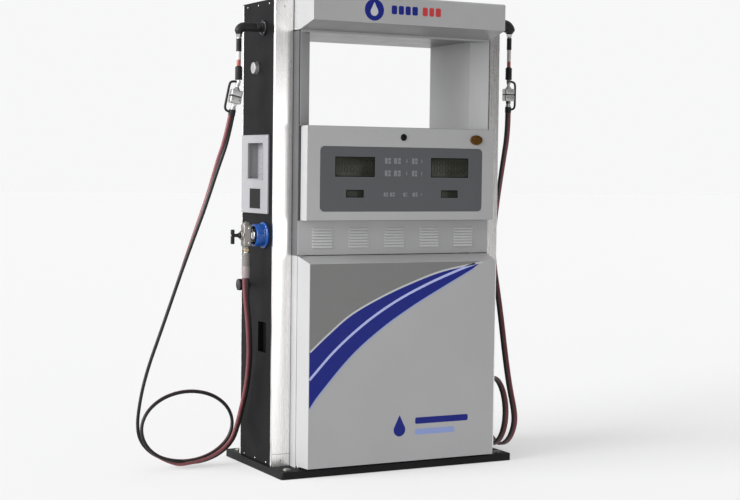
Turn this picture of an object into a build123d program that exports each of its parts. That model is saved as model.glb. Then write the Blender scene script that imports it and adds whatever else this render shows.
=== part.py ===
"""Double-sided gas dispenser with two hoses: cabinet, service covers, gas train and nozzles.

The origin is the middle of the footprint, on the floor. X runs across the cabinet, the front
face looks along -Y, and the rear half is the front half turned half a turn about Z.
"""

import math
import os

from build123d import *

os.makedirs("parts", exist_ok=True)

# Driving dimensions, in millimetres.
HALF_WIDTH = 575  # outer face of a side panel
POST_Y = 181  # front face of the stainless corner posts
CORE_X = 485  # side of the centre assembly
CORE_Y = 241  # front of the vent panel
PLATE_X, PLATE_Y, PLATE_T = 1172, 636, 33
CABINET_TOP = 2080
TOP = 2100
SHEET = 2.5
WINDOW_X, WINDOW_Y = 410, 185  # see-through window between its straight jambs
WINDOW_Z0, WINDOW_Z1 = 1536, 1939
DISPLAY_X, DISPLAY_Y = 474, 305
DISPLAY_Z0, DISPLAY_Z1 = 1121, 1533
DOOR_Y, DOOR_FRONT_X = 338, 471
DOOR_Z0, DOOR_Z1, DOOR_BEVEL = 42, 965, 29
HEADER_Y, HEADER_FRONT_X = 372, 481.5
HEADER_Z0, HEADER_BEVEL = 1948, 33
NOZZLE_Y, NOZZLE_Z = -80, 1050
NOZZLE_X = -660  # hose axis at the nozzle
KNOB_Y, KNOB_Z = 90, 820
LOCK_Y, LOCK_Z = 16, 1790
LEFT_OUTLET = (-694, -62, 1962)
RIGHT_OUTLET = (760, 30, 2048)
HOSE_D = 30  # the two lines of the hose side by side
PIPE_D = 14
PIVOT_Y = 254
DOOR_PIVOT_X, COVER_PIVOT_X = 476, 464
PIN_R, PIN_GAP = 5, 0.1


def block(x0, x1, y0, y1, z0, z1, mode=Mode.ADD):
    """A box between two corners, in the builder that is open."""
    with Locations(((x0 + x1) / 2, (y0 + y1) / 2, (z0 + z1) / 2)):
        Box(x1 - x0, y1 - y0, z1 - z0, mode=mode)


def rod_x(x0, x1, y, z, r, mode=Mode.ADD):
    """A round bar along X."""
    with Locations(((x0 + x1) / 2, y, z)):
        Cylinder(r, abs(x1 - x0), rotation=(0, 90, 0), mode=mode)


def rod_y(x, y0, y1, z, r, mode=Mode.ADD):
    """A round bar along Y."""
    with Locations((x, (y0 + y1) / 2, z)):
        Cylinder(r, abs(y1 - y0), rotation=(90, 0, 0), mode=mode)


def rod_z(x, y, z0, z1, r, mode=Mode.ADD):
    """A round bar along Z."""
    with Locations((x, y, (z0 + z1) / 2)):
        Cylinder(r, z1 - z0, mode=mode)


def turned(piece):
    """The same piece on the other side, half a turn about Z."""
    with BuildPart() as other:
        add(piece.part, rotation=(0, 0, 180))
    return other


def plan_prism(points, z0, z1, mode=Mode.ADD):
    """A vertical prism from a closed plan outline."""
    with BuildSketch(Plane.XY.offset(z0)) as plan:
        with BuildLine():
            Polyline(*points, close=True)
        make_face()
    extrude(plan.sketch, amount=z1 - z0, mode=mode)


def frustum(y0, rect0, y1, rect1, mode=Mode.ADD):
    """A lofted block from rectangle (x, z0, z1) at y0 to another one at y1."""
    ends = []
    for y, (half, z0, z1) in ((y0, rect0), (y1, rect1)):
        with BuildSketch(Plane.XZ.offset(-y)) as end:
            with Locations((0, (z0 + z1) / 2)):
                Rectangle(2 * half, z1 - z0)
        ends.append(end.sketch.face())
    loft(ends, ruled=True, mode=mode)


# Base plate: anchor holes outside the cabinet, gas riser hole and cable hole inside it.
ANCHOR_X, ANCHOR_Y, ANCHOR_D = 540, 270, 18
RISER_X, RISER_Y = 60, -55
CABLE_X, CABLE_Y = -150, 60

with BuildPart() as base_plate:
    block(-PLATE_X / 2, PLATE_X / 2, -PLATE_Y / 2, PLATE_Y / 2, 0, PLATE_T)
    fillet(base_plate.edges().filter_by(Axis.Z), 12)
    chamfer(base_plate.faces().sort_by(Axis.Z)[-1].edges(), 2)
    block(-PLATE_X / 2 + 8, PLATE_X / 2 - 8, -PLATE_Y / 2 + 8, PLATE_Y / 2 - 8, -5, PLATE_T - 6, mode=Mode.SUBTRACT)
    with GridLocations(2 * ANCHOR_X, 2 * ANCHOR_Y, 2, 2):
        with Locations((0, 0, PLATE_T / 2 - 1)):
            Box(76, 80, PLATE_T - 2)
    block(-CORE_X, CORE_X, -8, 8, 0, PLATE_T - 4)
    with GridLocations(2 * ANCHOR_X, 2 * ANCHOR_Y, 2, 2):
        Cylinder(ANCHOR_D / 2, 4 * PLATE_T, mode=Mode.SUBTRACT)
    rod_z(RISER_X, RISER_Y, -10, PLATE_T + 10, 30, mode=Mode.SUBTRACT)
    rod_z(CABLE_X, CABLE_Y, -10, PLATE_T + 10, 21, mode=Mode.SUBTRACT)

# Inner frame: four angle uprights, ring rails and a partition that carries the gas train.
RAIL_LEVELS = (90, 1076, 1490, 1945)
with BuildPart() as inner_frame:
    for sx in (-1, 1):
        for sy in (-1, 1):
            xs = sorted((sx * 482, sx * CORE_X))
            ys = sorted((sy * 150, sy * 239))
            block(*xs, *ys, PLATE_T, 1944)
            xs = sorted((sx * 441, sx * CORE_X))
            ys = sorted((sy * 150, sy * 154))
            block(*xs, *ys, PLATE_T, 1985)
            xs = sorted((sx * 470, sx * 483))
            ys = sorted((sy * 236.4, sy * 238.8))
            block(*xs, *ys, 1122, 1532)
    for z in RAIL_LEVELS:
        for s in (-1, 1):
            block(-481, 481, *sorted((s * 144, s * 150)), z, z + 40)
            block(*sorted((s * 475, s * 481)), -150, 150, z, z + 40)
    block(-475, 475, -1.5, 1.5, 112, 1094)
    block(-475, 475, -144, 144, 1110, 1113)
    rod_y(200, -10, 10, 575, 11, mode=Mode.SUBTRACT)

# Corner posts: a stainless channel with a rounded outer corner.
with BuildPart() as post_front_left:
    block(-HALF_WIDTH, -487, -POST_Y, -160, PLATE_T, CABINET_TOP)
    block(-HALF_WIDTH - 1, -572, -167, -150, 0, TOP, mode=Mode.SUBTRACT)
    block(-572, -490, -178, -150, 0, TOP, mode=Mode.SUBTRACT)
    outer = post_front_left.edges().filter_by(Axis.Z).sort_by_distance((-HALF_WIDTH, -POST_Y, 1000))[0]
    fillet(outer, 2.8)
with BuildPart() as post_front_right:
    mirror(post_front_left.part, about=Plane.YZ)
post_rear_right = turned(post_front_left)
post_rear_left = turned(post_front_right)

# Side panel, made on the left: pocket hole, display hole, pressed grip, shaft holes.
POCKET = (-81, 91, 1294, 1457)
CARD_WINDOW = (-51, 59, 1168, 1253)
GRIP = (-112, -25, 530, 664)


def side_panel(outlet_y, outlet_z):
    """A pan-shaped side panel on the -X side, with its outlet hole where given."""
    with BuildPart() as panel:
        block(-HALF_WIDTH, -560, -165, 165, PLATE_T + 2, CABINET_TOP)
        block(-HALF_WIDTH + 2, -540, -163, 163, PLATE_T + 4, CABINET_TOP - 2, mode=Mode.SUBTRACT)
        block(-HALF_WIDTH, -548, GRIP[0] - 2, GRIP[1] + 2, GRIP[2] - 2, GRIP[3] + 2)
        block(-600, -550, *GRIP, mode=Mode.SUBTRACT)
        block(-600, -560, POCKET[0] - 3, POCKET[1] + 3, POCKET[2] - 3, POCKET[3] + 3, mode=Mode.SUBTRACT)
        block(-600, -560, *CARD_WINDOW, mode=Mode.SUBTRACT)
        rod_x(-600, -560, KNOB_Y, KNOB_Z, 8, mode=Mode.SUBTRACT)
        rod_x(-600, -560, LOCK_Y, LOCK_Z, 12, mode=Mode.SUBTRACT)
        rod_x(-600, -540, outlet_y, outlet_z, 12, mode=Mode.SUBTRACT)
    return panel


side_panel_left = side_panel(LEFT_OUTLET[1], LEFT_OUTLET[2])
side_panel_right = turned(side_panel(-RIGHT_OUTLET[1], RIGHT_OUTLET[2]))

with BuildPart() as roof_panel:
    block(-HALF_WIDTH, HALF_WIDTH, -POST_Y, POST_Y, CABINET_TOP, CABINET_TOP + 3)
    fillet(roof_panel.edges().filter_by(Axis.Z), 3)
    block(-440, 440, -140, 140, CABINET_TOP + 3, CABINET_TOP + 9)
    chamfer(roof_panel.faces().sort_by(Axis.Z)[-1].edges(), 3)

# Header: a sheet box with a sloping underside, open at the back.
with BuildPart() as header_front:
    block(-CORE_X, CORE_X, -CORE_Y, -183, HEADER_Z0, TOP)
    frustum(
        -CORE_Y,
        (CORE_X, HEADER_Z0, TOP),
        -HEADER_Y,
        (HEADER_FRONT_X, HEADER_Z0 + HEADER_BEVEL, TOP),
    )
    chamfer(header_front.edges().group_by(Axis.Y)[0].sort_by(Axis.Z)[-1], 6)
    t = SHEET
    block(-CORE_X + t, CORE_X - t, -CORE_Y, -180, HEADER_Z0 + t, TOP - t, mode=Mode.SUBTRACT)
    frustum(
        -CORE_Y,
        (CORE_X - t, HEADER_Z0 + t, TOP - t),
        -HEADER_Y + 7,
        (HEADER_FRONT_X - t, HEADER_Z0 + HEADER_BEVEL + t, TOP - t),
        mode=Mode.SUBTRACT,
    )
header_rear = turned(header_front)

# Window surround: jambs, soffit and sill of the see-through opening, with splayed ends.
SPLAY_X, SPLAY_Y = 477, 240
tunnel_in = [
    (-SPLAY_X, -SPLAY_Y), (SPLAY_X, -SPLAY_Y), (WINDOW_X, -WINDOW_Y), (WINDOW_X, WINDOW_Y),
    (SPLAY_X, SPLAY_Y), (-SPLAY_X, SPLAY_Y), (-WINDOW_X, WINDOW_Y), (-WINDOW_X, -WINDOW_Y),
]
tunnel_out = [(x + math.copysign(3.5, x), y) for x, y in tunnel_in]
with BuildPart() as window_surround:
    plan_prism(tunnel_out, WINDOW_Z0 - 3, WINDOW_Z1 + 3)
    plan_prism(tunnel_in, WINDOW_Z0, WINDOW_Z1, mode=Mode.SUBTRACT)
    for s in (-1, 1):
        block(-SPLAY_X, SPLAY_X, *sorted((s * 237, s * SPLAY_Y)), WINDOW_Z1 + 2, HEADER_Z0 - 0.2)

# Display covers: a hinged pan with a recess for the overlay and four display openings.
OVERLAY = (-411, 411, 1160, 1446)
BIG_LCD = (240, 1357, 196, 88)
SMALL_LCD = (240, 1239, 88, 34)
LATCH_X, LATCH_Z = 377, 1485
LENS_Z = 1490


def lcd_openings(y0, y1, grow, mode):
    """The four display openings, grown all round, between two depths."""
    for cx, cz, w, h in (BIG_LCD, SMALL_LCD):
        for s in (-1, 1):
            x0, x1 = s * cx - w / 2 - grow, s * cx + w / 2 + grow
            block(x0, x1, y0, y1, cz - h / 2 - grow, cz + h / 2 + grow, mode=mode)


with BuildPart() as display_cover_front:
    block(-DISPLAY_X, DISPLAY_X, -DISPLAY_Y, -243, DISPLAY_Z0, DISPLAY_Z1)
    front_face = display_cover_front.faces().sort_by(Axis.Y)[0]
    fillet(front_face.edges(), 3)
    block(
        -DISPLAY_X + 2.5, DISPLAY_X - 2.5, -DISPLAY_Y + 2.5, -240,
        DISPLAY_Z0 + 2.5, DISPLAY_Z1 - 2.5, mode=Mode.SUBTRACT,
    )
    block(
        OVERLAY[0], OVERLAY[1], -DISPLAY_Y - 5, -DISPLAY_Y + 1.5,
        OVERLAY[2], OVERLAY[3], mode=Mode.SUBTRACT,
    )
    lcd_openings(-DISPLAY_Y - 5, -DISPLAY_Y + 4, 6, Mode.SUBTRACT)
    rod_y(0, -320, -295, LENS_Z, 13, mode=Mode.SUBTRACT)
    rod_y(LATCH_X, -320, -295, LATCH_Z, 9, mode=Mode.SUBTRACT)
    for z in (DISPLAY_Z0 + 2, DISPLAY_Z1 - 14):
        block(-DISPLAY_X + 1, -456, -262, -246, z, z + 12)
    for z in (DISPLAY_Z0, DISPLAY_Z1 - 20):
        rod_z(-COVER_PIVOT_X, -PIVOT_Y, z - 1, z + 21, PIN_R + PIN_GAP, mode=Mode.SUBTRACT)
display_cover_rear = turned(display_cover_front)

with BuildPart() as display_overlay_front:
    block(
        OVERLAY[0] + 0.5, OVERLAY[1] - 0.5, -DISPLAY_Y, -DISPLAY_Y + 1.5,
        OVERLAY[2] + 0.5, OVERLAY[3] - 0.5,
    )
    fillet(display_overlay_front.edges().filter_by(Axis.Y), 22)
    lcd_openings(-DISPLAY_Y - 5, -DISPLAY_Y + 5, 0, Mode.SUBTRACT)
display_overlay_rear = turned(display_overlay_front)

with BuildPart() as display_lcds_front:
    lcd_openings(-DISPLAY_Y + 1.5, -DISPLAY_Y + 15, 5, Mode.ADD)
    rod_y(0, -305, -309, LENS_Z, 15.5)
    rod_y(0, -305, -288, LENS_Z, 12.7)
display_lcds_rear = turned(display_lcds_front)

with BuildPart() as display_board_front:
    block(-390, 390, -290, -286, 1180, 1440)
    for x in (-300, -180, 180, 300):
        block(x - 40, x + 40, -286, -272, 1340, 1400)
    block(-70, 70, -286, -266, 1250, 1390)
    for x in (-240, -200, 200, 240):
        rod_y(x, -286, -268, 1222, 11)
display_board_rear = turned(display_board_front)

# Quarter-turn latch of the display cover: an oval knob, a shaft and a cam behind.
with BuildPart() as cover_latch_front:
    with BuildSketch(Plane.XZ.offset(DISPLAY_Y)):
        with Locations((LATCH_X, LATCH_Z)):
            Ellipse(32, 22)
    extrude(amount=6)
    fillet(cover_latch_front.edges().group_by(Axis.Y)[0], 2.5)
    rod_y(LATCH_X, -305, -246, LATCH_Z, 8.6)
    block(LATCH_X - 9, LATCH_X + 9, -250, -246, LATCH_Z - 10, LATCH_Z + 34)
cover_latch_rear = turned(cover_latch_front)

# Vent panel: a flanged sheet with five groups of pressed louvres.
VENT_Z0, VENT_Z1 = 968, 1118
LOUVRE_PITCH, LOUVRE_W, LOUVRES = 180, 94, 7
with BuildPart() as vent_panel_front:
    block(-480, 480, -CORE_Y, -228, VENT_Z0, VENT_Z1)
    block(-CORE_X, CORE_X, -CORE_Y, -239, VENT_Z0, VENT_Z1)
    block(-478, 478, -239, -220, VENT_Z0 + 2, VENT_Z1 - 2, mode=Mode.SUBTRACT)
    with Locations((-6, 0, (VENT_Z0 + VENT_Z1) / 2)):
        for k in range(-2, 3):
            for i in range(LOUVRES):
                z = 13 * (i - (LOUVRES - 1) / 2)
                with Locations((k * LOUVRE_PITCH, -CORE_Y, z)):
                    Box(LOUVRE_W - 4, 12, 5, mode=Mode.SUBTRACT)
vent_panel_rear = turned(vent_panel_front)

# Lower door: a deep pan that narrows forward, with pivot holes top and bottom on one side
# and a lock barrel hole on the other.
LOCK_Y0, DOOR_LOCK_Z = -258, 560
with BuildPart() as door_front:
    frustum(
        -243,
        (CORE_X, DOOR_Z0, DOOR_Z1),
        -DOOR_Y,
        (DOOR_FRONT_X, DOOR_Z0, DOOR_Z1 - DOOR_BEVEL),
    )
    frustum(
        -242.9,
        (CORE_X - SHEET, DOOR_Z0 + SHEET, DOOR_Z1 - SHEET),
        -DOOR_Y + SHEET,
        (DOOR_FRONT_X - SHEET, DOOR_Z0 + SHEET, DOOR_Z1 - DOOR_BEVEL - SHEET),
        mode=Mode.SUBTRACT,
    )
    block(-481.5, -467, -262, -246, 44, 56)
    block(-481.5, -467, -262, -246, 944, 958.5)
    rod_z(-DOOR_PIVOT_X, -PIVOT_Y, 40, 60, PIN_R + PIN_GAP, mode=Mode.SUBTRACT)
    rod_z(-DOOR_PIVOT_X, -PIVOT_Y, 940, 970, PIN_R + PIN_GAP, mode=Mode.SUBTRACT)
    rod_x(460, 500, LOCK_Y0, DOOR_LOCK_Z, 9.5, mode=Mode.SUBTRACT)
door_rear = turned(door_front)

# Door lock: a barrel in the side wall that turns a hook down behind the keeper pin.
with BuildPart() as door_lock_front:
    rod_x(485.2, 490, LOCK_Y0, DOOR_LOCK_Z, 12)
    fillet(door_lock_front.edges().group_by(Axis.X)[-1], 1.5)
    rod_x(467, 485.2, LOCK_Y0, DOOR_LOCK_Z, 9)
    block(463, 467, LOCK_Y0 - 8, LOCK_Y0 + 6, DOOR_LOCK_Z - 8, DOOR_LOCK_Z + 44)
    block(463, 467, LOCK_Y0 - 8, LOCK_Y0 + 22, DOOR_LOCK_Z + 36, DOOR_LOCK_Z + 44)
door_lock_rear = turned(door_lock_front)

# Hinges and strikes: pivots stand in holes in the top and bottom walls of the door and of
# the cover. The door hooks catch keeper pins, and the cover cams turn behind bent strikes.
with BuildPart() as hinges_front:
    rod_z(-DOOR_PIVOT_X, -PIVOT_Y, PLATE_T, 41.7, 9)
    rod_z(-DOOR_PIVOT_X, -PIVOT_Y, PLATE_T, 56, PIN_R)
    block(-482, -479, -238.5, -200, 940, 967.7)
    block(-482, -468, -262, -225, 965.3, 967.7)
    rod_z(-DOOR_PIVOT_X, -PIVOT_Y, 948, 967.7, PIN_R)
    block(-482, -480.2, -238.5, -200, 1085, 1120.7)
    block(-482, -456, -262, -225, 1118.3, 1120.7)
    rod_z(-COVER_PIVOT_X, -PIVOT_Y, 1118.3, 1135, PIN_R)
    block(-485, -481, -262, -239, 1533.4, 1535.8)
    block(-485, -456, -262, -240.2, 1533.4, 1535.8)
    rod_z(-COVER_PIVOT_X, -PIVOT_Y, 1518, 1535.8, PIN_R)
    rod_x(458, 482, -228, 548, 4)
    block(396, 468, -256, -253, 1470, 1500)
    block(465, 468, -256, -220, 1470, 1500)
    block(465, 482, -224, -220, 1470, 1500)
with BuildPart() as hinges_and_strikes:
    add(hinges_front.part)
    add(hinges_front.part, rotation=(0, 0, 180))

# Gas train inside: inlet manifold, filter, solenoid blocks, mass flow meters, pipework.
with BuildPart() as inlet_manifold:
    rod_z(RISER_X, RISER_Y, 0, 160, 17)
    block(RISER_X - 30, RISER_X + 30, RISER_Y - 25, RISER_Y + 25, 160, 230)
    fillet(inlet_manifold.faces().sort_by(Axis.Z)[-1].edges(), 4)
    rod_z(RISER_X, RISER_Y, 230, 250, 12)
    rod_y(RISER_X, RISER_Y - 55, RISER_Y - 25, 195, 15)
    rod_z(RISER_X, RISER_Y, -1, 40, 10.5, mode=Mode.SUBTRACT)

FILTER_X = 300
with BuildPart() as gas_filter:
    rod_z(FILTER_X, -60, 250, 520, 45)
    fillet(gas_filter.edges().filter_by(GeomType.CIRCLE).group_by(Axis.Z)[0], 12)
    rod_z(FILTER_X, -60, 440, 470, 52)
    with BuildSketch(Plane.XY.offset(500)):
        with Locations((FILTER_X, -60)):
            RegularPolygon(30, 6)
    extrude(amount=38)
    block(FILTER_X - 30, FILTER_X + 30, -60, -1.5, 455, 463)

with BuildPart() as solenoid_front:
    block(60, 160, -90, -1.5, 620, 700)
    for x in (85, 135):
        rod_y(x, -150, -90, 660, 20)
        block(x - 18, x + 18, -138, -98, 662, 690)
with BuildPart() as solenoid_valves:
    add(solenoid_front.part)
    add(solenoid_front.part, rotation=(0, 0, 180))

METER_X = -230
with BuildPart() as flow_meter_left:
    block(METER_X - 55, METER_X + 55, -105, -15, 615, 765)
    fillet(flow_meter_left.edges().filter_by(Axis.Z), 18)
    rod_z(METER_X, -60, 600, 780, 16)
    rod_y(METER_X, -150, -105, 690, 34)
    fillet(flow_meter_left.edges().group_by(Axis.Y)[0], 6)
    block(METER_X - 25, METER_X + 25, -15, -1.5, 640, 740)
flow_meter_right = turned(flow_meter_left)


def pipe(points, bend=22):
    """A pipe along straight runs with equal bends, in the builder that is open."""
    with BuildLine() as run:
        FilletPolyline(*points, radius=bend)
    with BuildSketch(Plane(origin=run.line @ 0, z_dir=run.line % 0)) as section:
        Circle(PIPE_D / 2)
    sweep(section.sketch, path=run.line)


line_common = [(-230, -60, 600), (-230, -60, 500), (-512, -60, 500), (-512, 90, 500), (-512, 90, 1150)]
left_run = line_common + [
    (-512, LEFT_OUTLET[1], 1350), (-512, LEFT_OUTLET[1], LEFT_OUTLET[2]), (-575, LEFT_OUTLET[1], LEFT_OUTLET[2]),
]
right_run = [(-x, -y, z) for x, y, z in line_common] + [
    (512, RIGHT_OUTLET[1], 1350), (512, RIGHT_OUTLET[1], RIGHT_OUTLET[2]), (575, RIGHT_OUTLET[1], RIGHT_OUTLET[2]),
]
with BuildPart() as gas_pipework:
    pipe([(90, -60, 195), (300, -60, 195), (300, -60, 250)])
    pipe([(300, -60, 538), (300, -60, 575), (110, -60, 575), (110, -60, 620)])
    block(186, 214, -74, -46, 561, 589)
    pipe([(200, -46, 575), (200, 60, 575), (-110, 60, 575), (-110, 60, 620)])
    for s in (1, -1):
        pipe([(s * 110, -s * 60, 700), (s * 110, -s * 60, 830), (-s * 230, -s * 60, 830), (-s * 230, -s * 60, 780)])
    pipe(left_run)
    pipe(right_run)
    for s in (-1, 1):
        block(s * 512 - 20, s * 512 + 20, -s * 90 - 20, -s * 90 + 20, KNOB_Z - 32, KNOB_Z + 32)

with BuildPart() as computer_box:
    block(-280, 280, -125, 125, 1113, 1420)
    fillet(computer_box.edges().filter_by(Axis.Y), 12)
    for s in (-1, 1):
        block(-265, 265, *sorted((s * 125, s * 135)), 1136, 1400)
    for x in (-180, -90, 0, 90, 180):
        rod_z(x, 0, 1420, 1445, 14)

# Card holder: a plate on the side panel with a pocket and an opening for the reader window.
with BuildPart() as card_holder_left:
    block(-583, -HALF_WIDTH, -133, 159, 1145, 1493)
    fillet(card_holder_left.edges().filter_by(Axis.X), 5)
    block(-HALF_WIDTH, -531, POCKET[0] - 2, POCKET[1] + 2, POCKET[2] - 2, POCKET[3] + 2)
    block(-590, -533, *POCKET, mode=Mode.SUBTRACT)
    block(-590, -570, *CARD_WINDOW, mode=Mode.SUBTRACT)
card_holder_right = turned(card_holder_left)

with BuildPart() as card_window_left:
    block(-584, -573, CARD_WINDOW[0] + 0.3, CARD_WINDOW[1] - 0.3, CARD_WINDOW[2] + 0.3, CARD_WINDOW[3] - 0.3)
    fillet(card_window_left.faces().sort_by(Axis.X)[0].edges(), 0.8)
card_window_right = turned(card_window_left)

with BuildPart() as side_lock_left:
    with BuildSketch(Plane.YZ.offset(-HALF_WIDTH - 0.3)):
        with Locations((LOCK_Y, LOCK_Z)):
            Circle(27)
    extrude(amount=-18, taper=6)
    fillet(side_lock_left.edges().group_by(Axis.X)[0], 2)
    block(-600, -589, LOCK_Y - 1.5, LOCK_Y + 1.5, LOCK_Z - 7, LOCK_Z + 7, mode=Mode.SUBTRACT)
    rod_x(-HALF_WIDTH - 0.3, -556, LOCK_Y, LOCK_Z, 11)
    block(-560, -556, LOCK_Y - 9, LOCK_Y + 9, LOCK_Z - 42, LOCK_Z + 9)
side_lock_right = turned(side_lock_left)

with BuildPart() as shutoff_knob_left:
    rod_x(-611, -533, KNOB_Y, KNOB_Z, 6)
    rod_x(-625, -611, KNOB_Y, KNOB_Z, 26)
    for i in range(12):
        a = i * math.tau / 12
        rod_x(-627, -609, KNOB_Y + 27.5 * math.cos(a), KNOB_Z + 27.5 * math.sin(a), 3.2, mode=Mode.SUBTRACT)
shutoff_knob_right = turned(shutoff_knob_left)

# Nozzle parking cup: a blue ring round a steel parking plug.
with BuildPart() as nozzle_cup_left:
    rod_x(-583, -HALF_WIDTH, NOZZLE_Y, NOZZLE_Z, 58)
    rod_x(-627, -583, NOZZLE_Y, NOZZLE_Z, 52)
    fillet(nozzle_cup_left.edges().group_by(Axis.X)[0], 6)
    rod_x(-640, -581, NOZZLE_Y, NOZZLE_Z, 39, mode=Mode.SUBTRACT)
    rod_x(-612, -581, NOZZLE_Y, NOZZLE_Z, 12)
nozzle_cup_right = turned(nozzle_cup_left)

# Nozzle: a connector collar that slides over the plug, the valve body and a lever spindle.
with BuildPart() as nozzle_left:
    rod_x(-640, -588, NOZZLE_Y, NOZZLE_Z, 28)
    fillet(nozzle_left.edges().group_by(Axis.X)[-1], 4)
    block(NOZZLE_X - 18, NOZZLE_X + 20, NOZZLE_Y - 22, NOZZLE_Y + 22, 990, 1112)
    fillet(nozzle_left.edges().filter_by(Axis.Z).group_by(Axis.X)[0], 8)
    rod_x(-688, -676, NOZZLE_Y, NOZZLE_Z, 20)
    rod_x(-703, -688, NOZZLE_Y, NOZZLE_Z, 6)
    rod_x(-616, -580, NOZZLE_Y, NOZZLE_Z, 13.5, mode=Mode.SUBTRACT)
nozzle_right = turned(nozzle_left)

with BuildPart() as nozzle_lever_left:
    rod_x(-706, -688.5, NOZZLE_Y, NOZZLE_Z, 15)
    rod_x(-718, -706, NOZZLE_Y, NOZZLE_Z, 7)
    block(-732, -716, NOZZLE_Y - 8, NOZZLE_Y + 8, NOZZLE_Z - 38, NOZZLE_Z + 26)
    fillet(nozzle_lever_left.edges().group_by(Axis.X)[0], 4)
    rod_x(-703.5, -680, NOZZLE_Y, NOZZLE_Z, 6.5, mode=Mode.SUBTRACT)
nozzle_lever_right = turned(nozzle_lever_left)

BOOT_TOP, BOOT_END = 990, 862
with BuildPart() as hose_boot_left:
    with BuildSketch(Plane.XZ.offset(-NOZZLE_Y)):
        with BuildLine():
            Polyline(
                (NOZZLE_X, BOOT_TOP), (NOZZLE_X + 14, BOOT_TOP), (NOZZLE_X + 14, 972),
                (NOZZLE_X + 19, 968), (NOZZLE_X + 17, BOOT_END), (NOZZLE_X, BOOT_END), close=True,
            )
        make_face()
    revolve(axis=Axis((NOZZLE_X, NOZZLE_Y, 0), (0, 0, 1)))
hose_boot_right = turned(hose_boot_left)


# Hose outlets: a flanged elbow out of the side panel, a short whip and a breakaway coupling.
LEFT_ARM_R, RIGHT_ARM_R = 20, 28
LEFT_DROP, RIGHT_DROP = 32, 40
LONGER_RIGHT = 20  # the right whip's white sleeve is this much longer


def outlet_elbow(x, y, z, arm_r, flange_r, drop):
    """A flanged arm along X that bends down at the outlet."""
    s = math.copysign(1, x)
    with BuildPart() as elbow:
        rod_x(*sorted((s * HALF_WIDTH, s * (HALF_WIDTH + 9))), y, z, flange_r)
        with BuildLine() as arm:
            FilletPolyline((s * (HALF_WIDTH + 5), y, z), (x, y, z), (x, y, z - drop), radius=arm_r + 4)
        with BuildSketch(Plane(origin=(s * (HALF_WIDTH + 5), y, z), z_dir=(s, 0, 0))):
            Circle(arm_r)
        sweep(path=arm.line)
    return elbow


def hose_whip(x, y, z, longer=0):
    """The short hose under the elbow, with its nut and end sleeves, from z downward."""
    profile = [(0, 0), (13, 0), (13, -14), (10, -14), (10, -20), (12, -20), (12, -76), (9.5, -76)]
    tail = [(9.5, -112), (9, -112), (9, -140), (16, -146), (16, -200), (0, -200)]
    profile += [(r, d - longer) for r, d in tail]
    with BuildPart() as whip:
        with BuildSketch(Plane.XZ.offset(-y)):
            with BuildLine():
                Polyline(*[(x + r, z + d) for r, d in profile], close=True)
            make_face()
        revolve(axis=Axis((x, y, 0), (0, 0, 1)))
    return whip


BREAKAWAY_L = 160


def breakaway(x, y, z, lean):
    """A break-away coupling: two fittings, a valve block and the vent line round it."""
    a = math.radians(lean)
    down = Vector(-math.sin(a), 0, -math.cos(a))
    out = Vector(-math.cos(a), 0, math.sin(a)) * (1 if x < 0 else -1)
    base = Plane(origin=(x, y, z), x_dir=out, z_dir=down)
    with BuildPart() as coupling:
        with BuildSketch(base):
            Circle(11)
        extrude(amount=22)
        with BuildSketch(base.offset(20)):
            Circle(7)
        extrude(amount=24)
        with BuildSketch(base.offset(42)):
            Rectangle(52, 38)
        extrude(amount=62)
        fillet(coupling.edges().filter_by(lambda e: abs(e.length - 62) < 0.1), 6)
        with BuildSketch(base.offset(104)):
            Circle(13)
        extrude(amount=30)
        with BuildSketch(base.offset(132)):
            Circle(15.5)
        extrude(amount=BREAKAWAY_L - 132)
        tips = [(6, 6), (38, 20), (38, 132), (8, 146)]
        with BuildLine() as vent:
            FilletPolyline(*[base.from_local_coords((u, 0, w)) for u, w in tips], radius=14)
        with BuildSketch(Plane(origin=vent.line @ 0, z_dir=vent.line % 0)):
            Circle(5.5)
        sweep(path=vent.line)
    return coupling


LEAN = 12
TILT_GAP = 2.4  # lets the leaning coupling hang clear of the whip's end
whip_top_left = (LEFT_OUTLET[0], LEFT_OUTLET[1], LEFT_OUTLET[2] - LEFT_DROP)
whip_top_right = (RIGHT_OUTLET[0], RIGHT_OUTLET[1], RIGHT_OUTLET[2] - RIGHT_DROP)
outlet_elbow_left = outlet_elbow(*LEFT_OUTLET, LEFT_ARM_R, 34, LEFT_DROP)
outlet_elbow_right = outlet_elbow(*RIGHT_OUTLET, RIGHT_ARM_R, 31, RIGHT_DROP)
hose_whip_left = hose_whip(*whip_top_left)
hose_whip_right = hose_whip(*whip_top_right, LONGER_RIGHT)
breakaway_left = breakaway(whip_top_left[0], whip_top_left[1], whip_top_left[2] - 200 - TILT_GAP, LEAN)
right_coupling_z = whip_top_right[2] - 200 - LONGER_RIGHT
breakaway_right = breakaway(whip_top_right[0], whip_top_right[1], right_coupling_z, 0)

# Hoses: from the breakaway down, one and a half turns of a loose loop over the floor, and
# up to the nozzle. The loop is worked out turn by turn, drifting sideways so it clears itself.
STEP = 30
HALF_TURNS = 3


def loop(centre, along, drift, a, b):
    """Points of the loop, from its far side down, under, up and over, HALF_TURNS times."""
    points = []
    for i in range(HALF_TURNS * 180 // STEP + 1):
        t = math.radians(180 + STEP * i)
        u, v = a * math.cos(t), b * math.sin(t)
        f = i / (360 / STEP)
        points.append(tuple(centre[k] + along[k] * u + (0, 0, v)[k] + drift[k] * f for k in range(3)))
    return points


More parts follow.
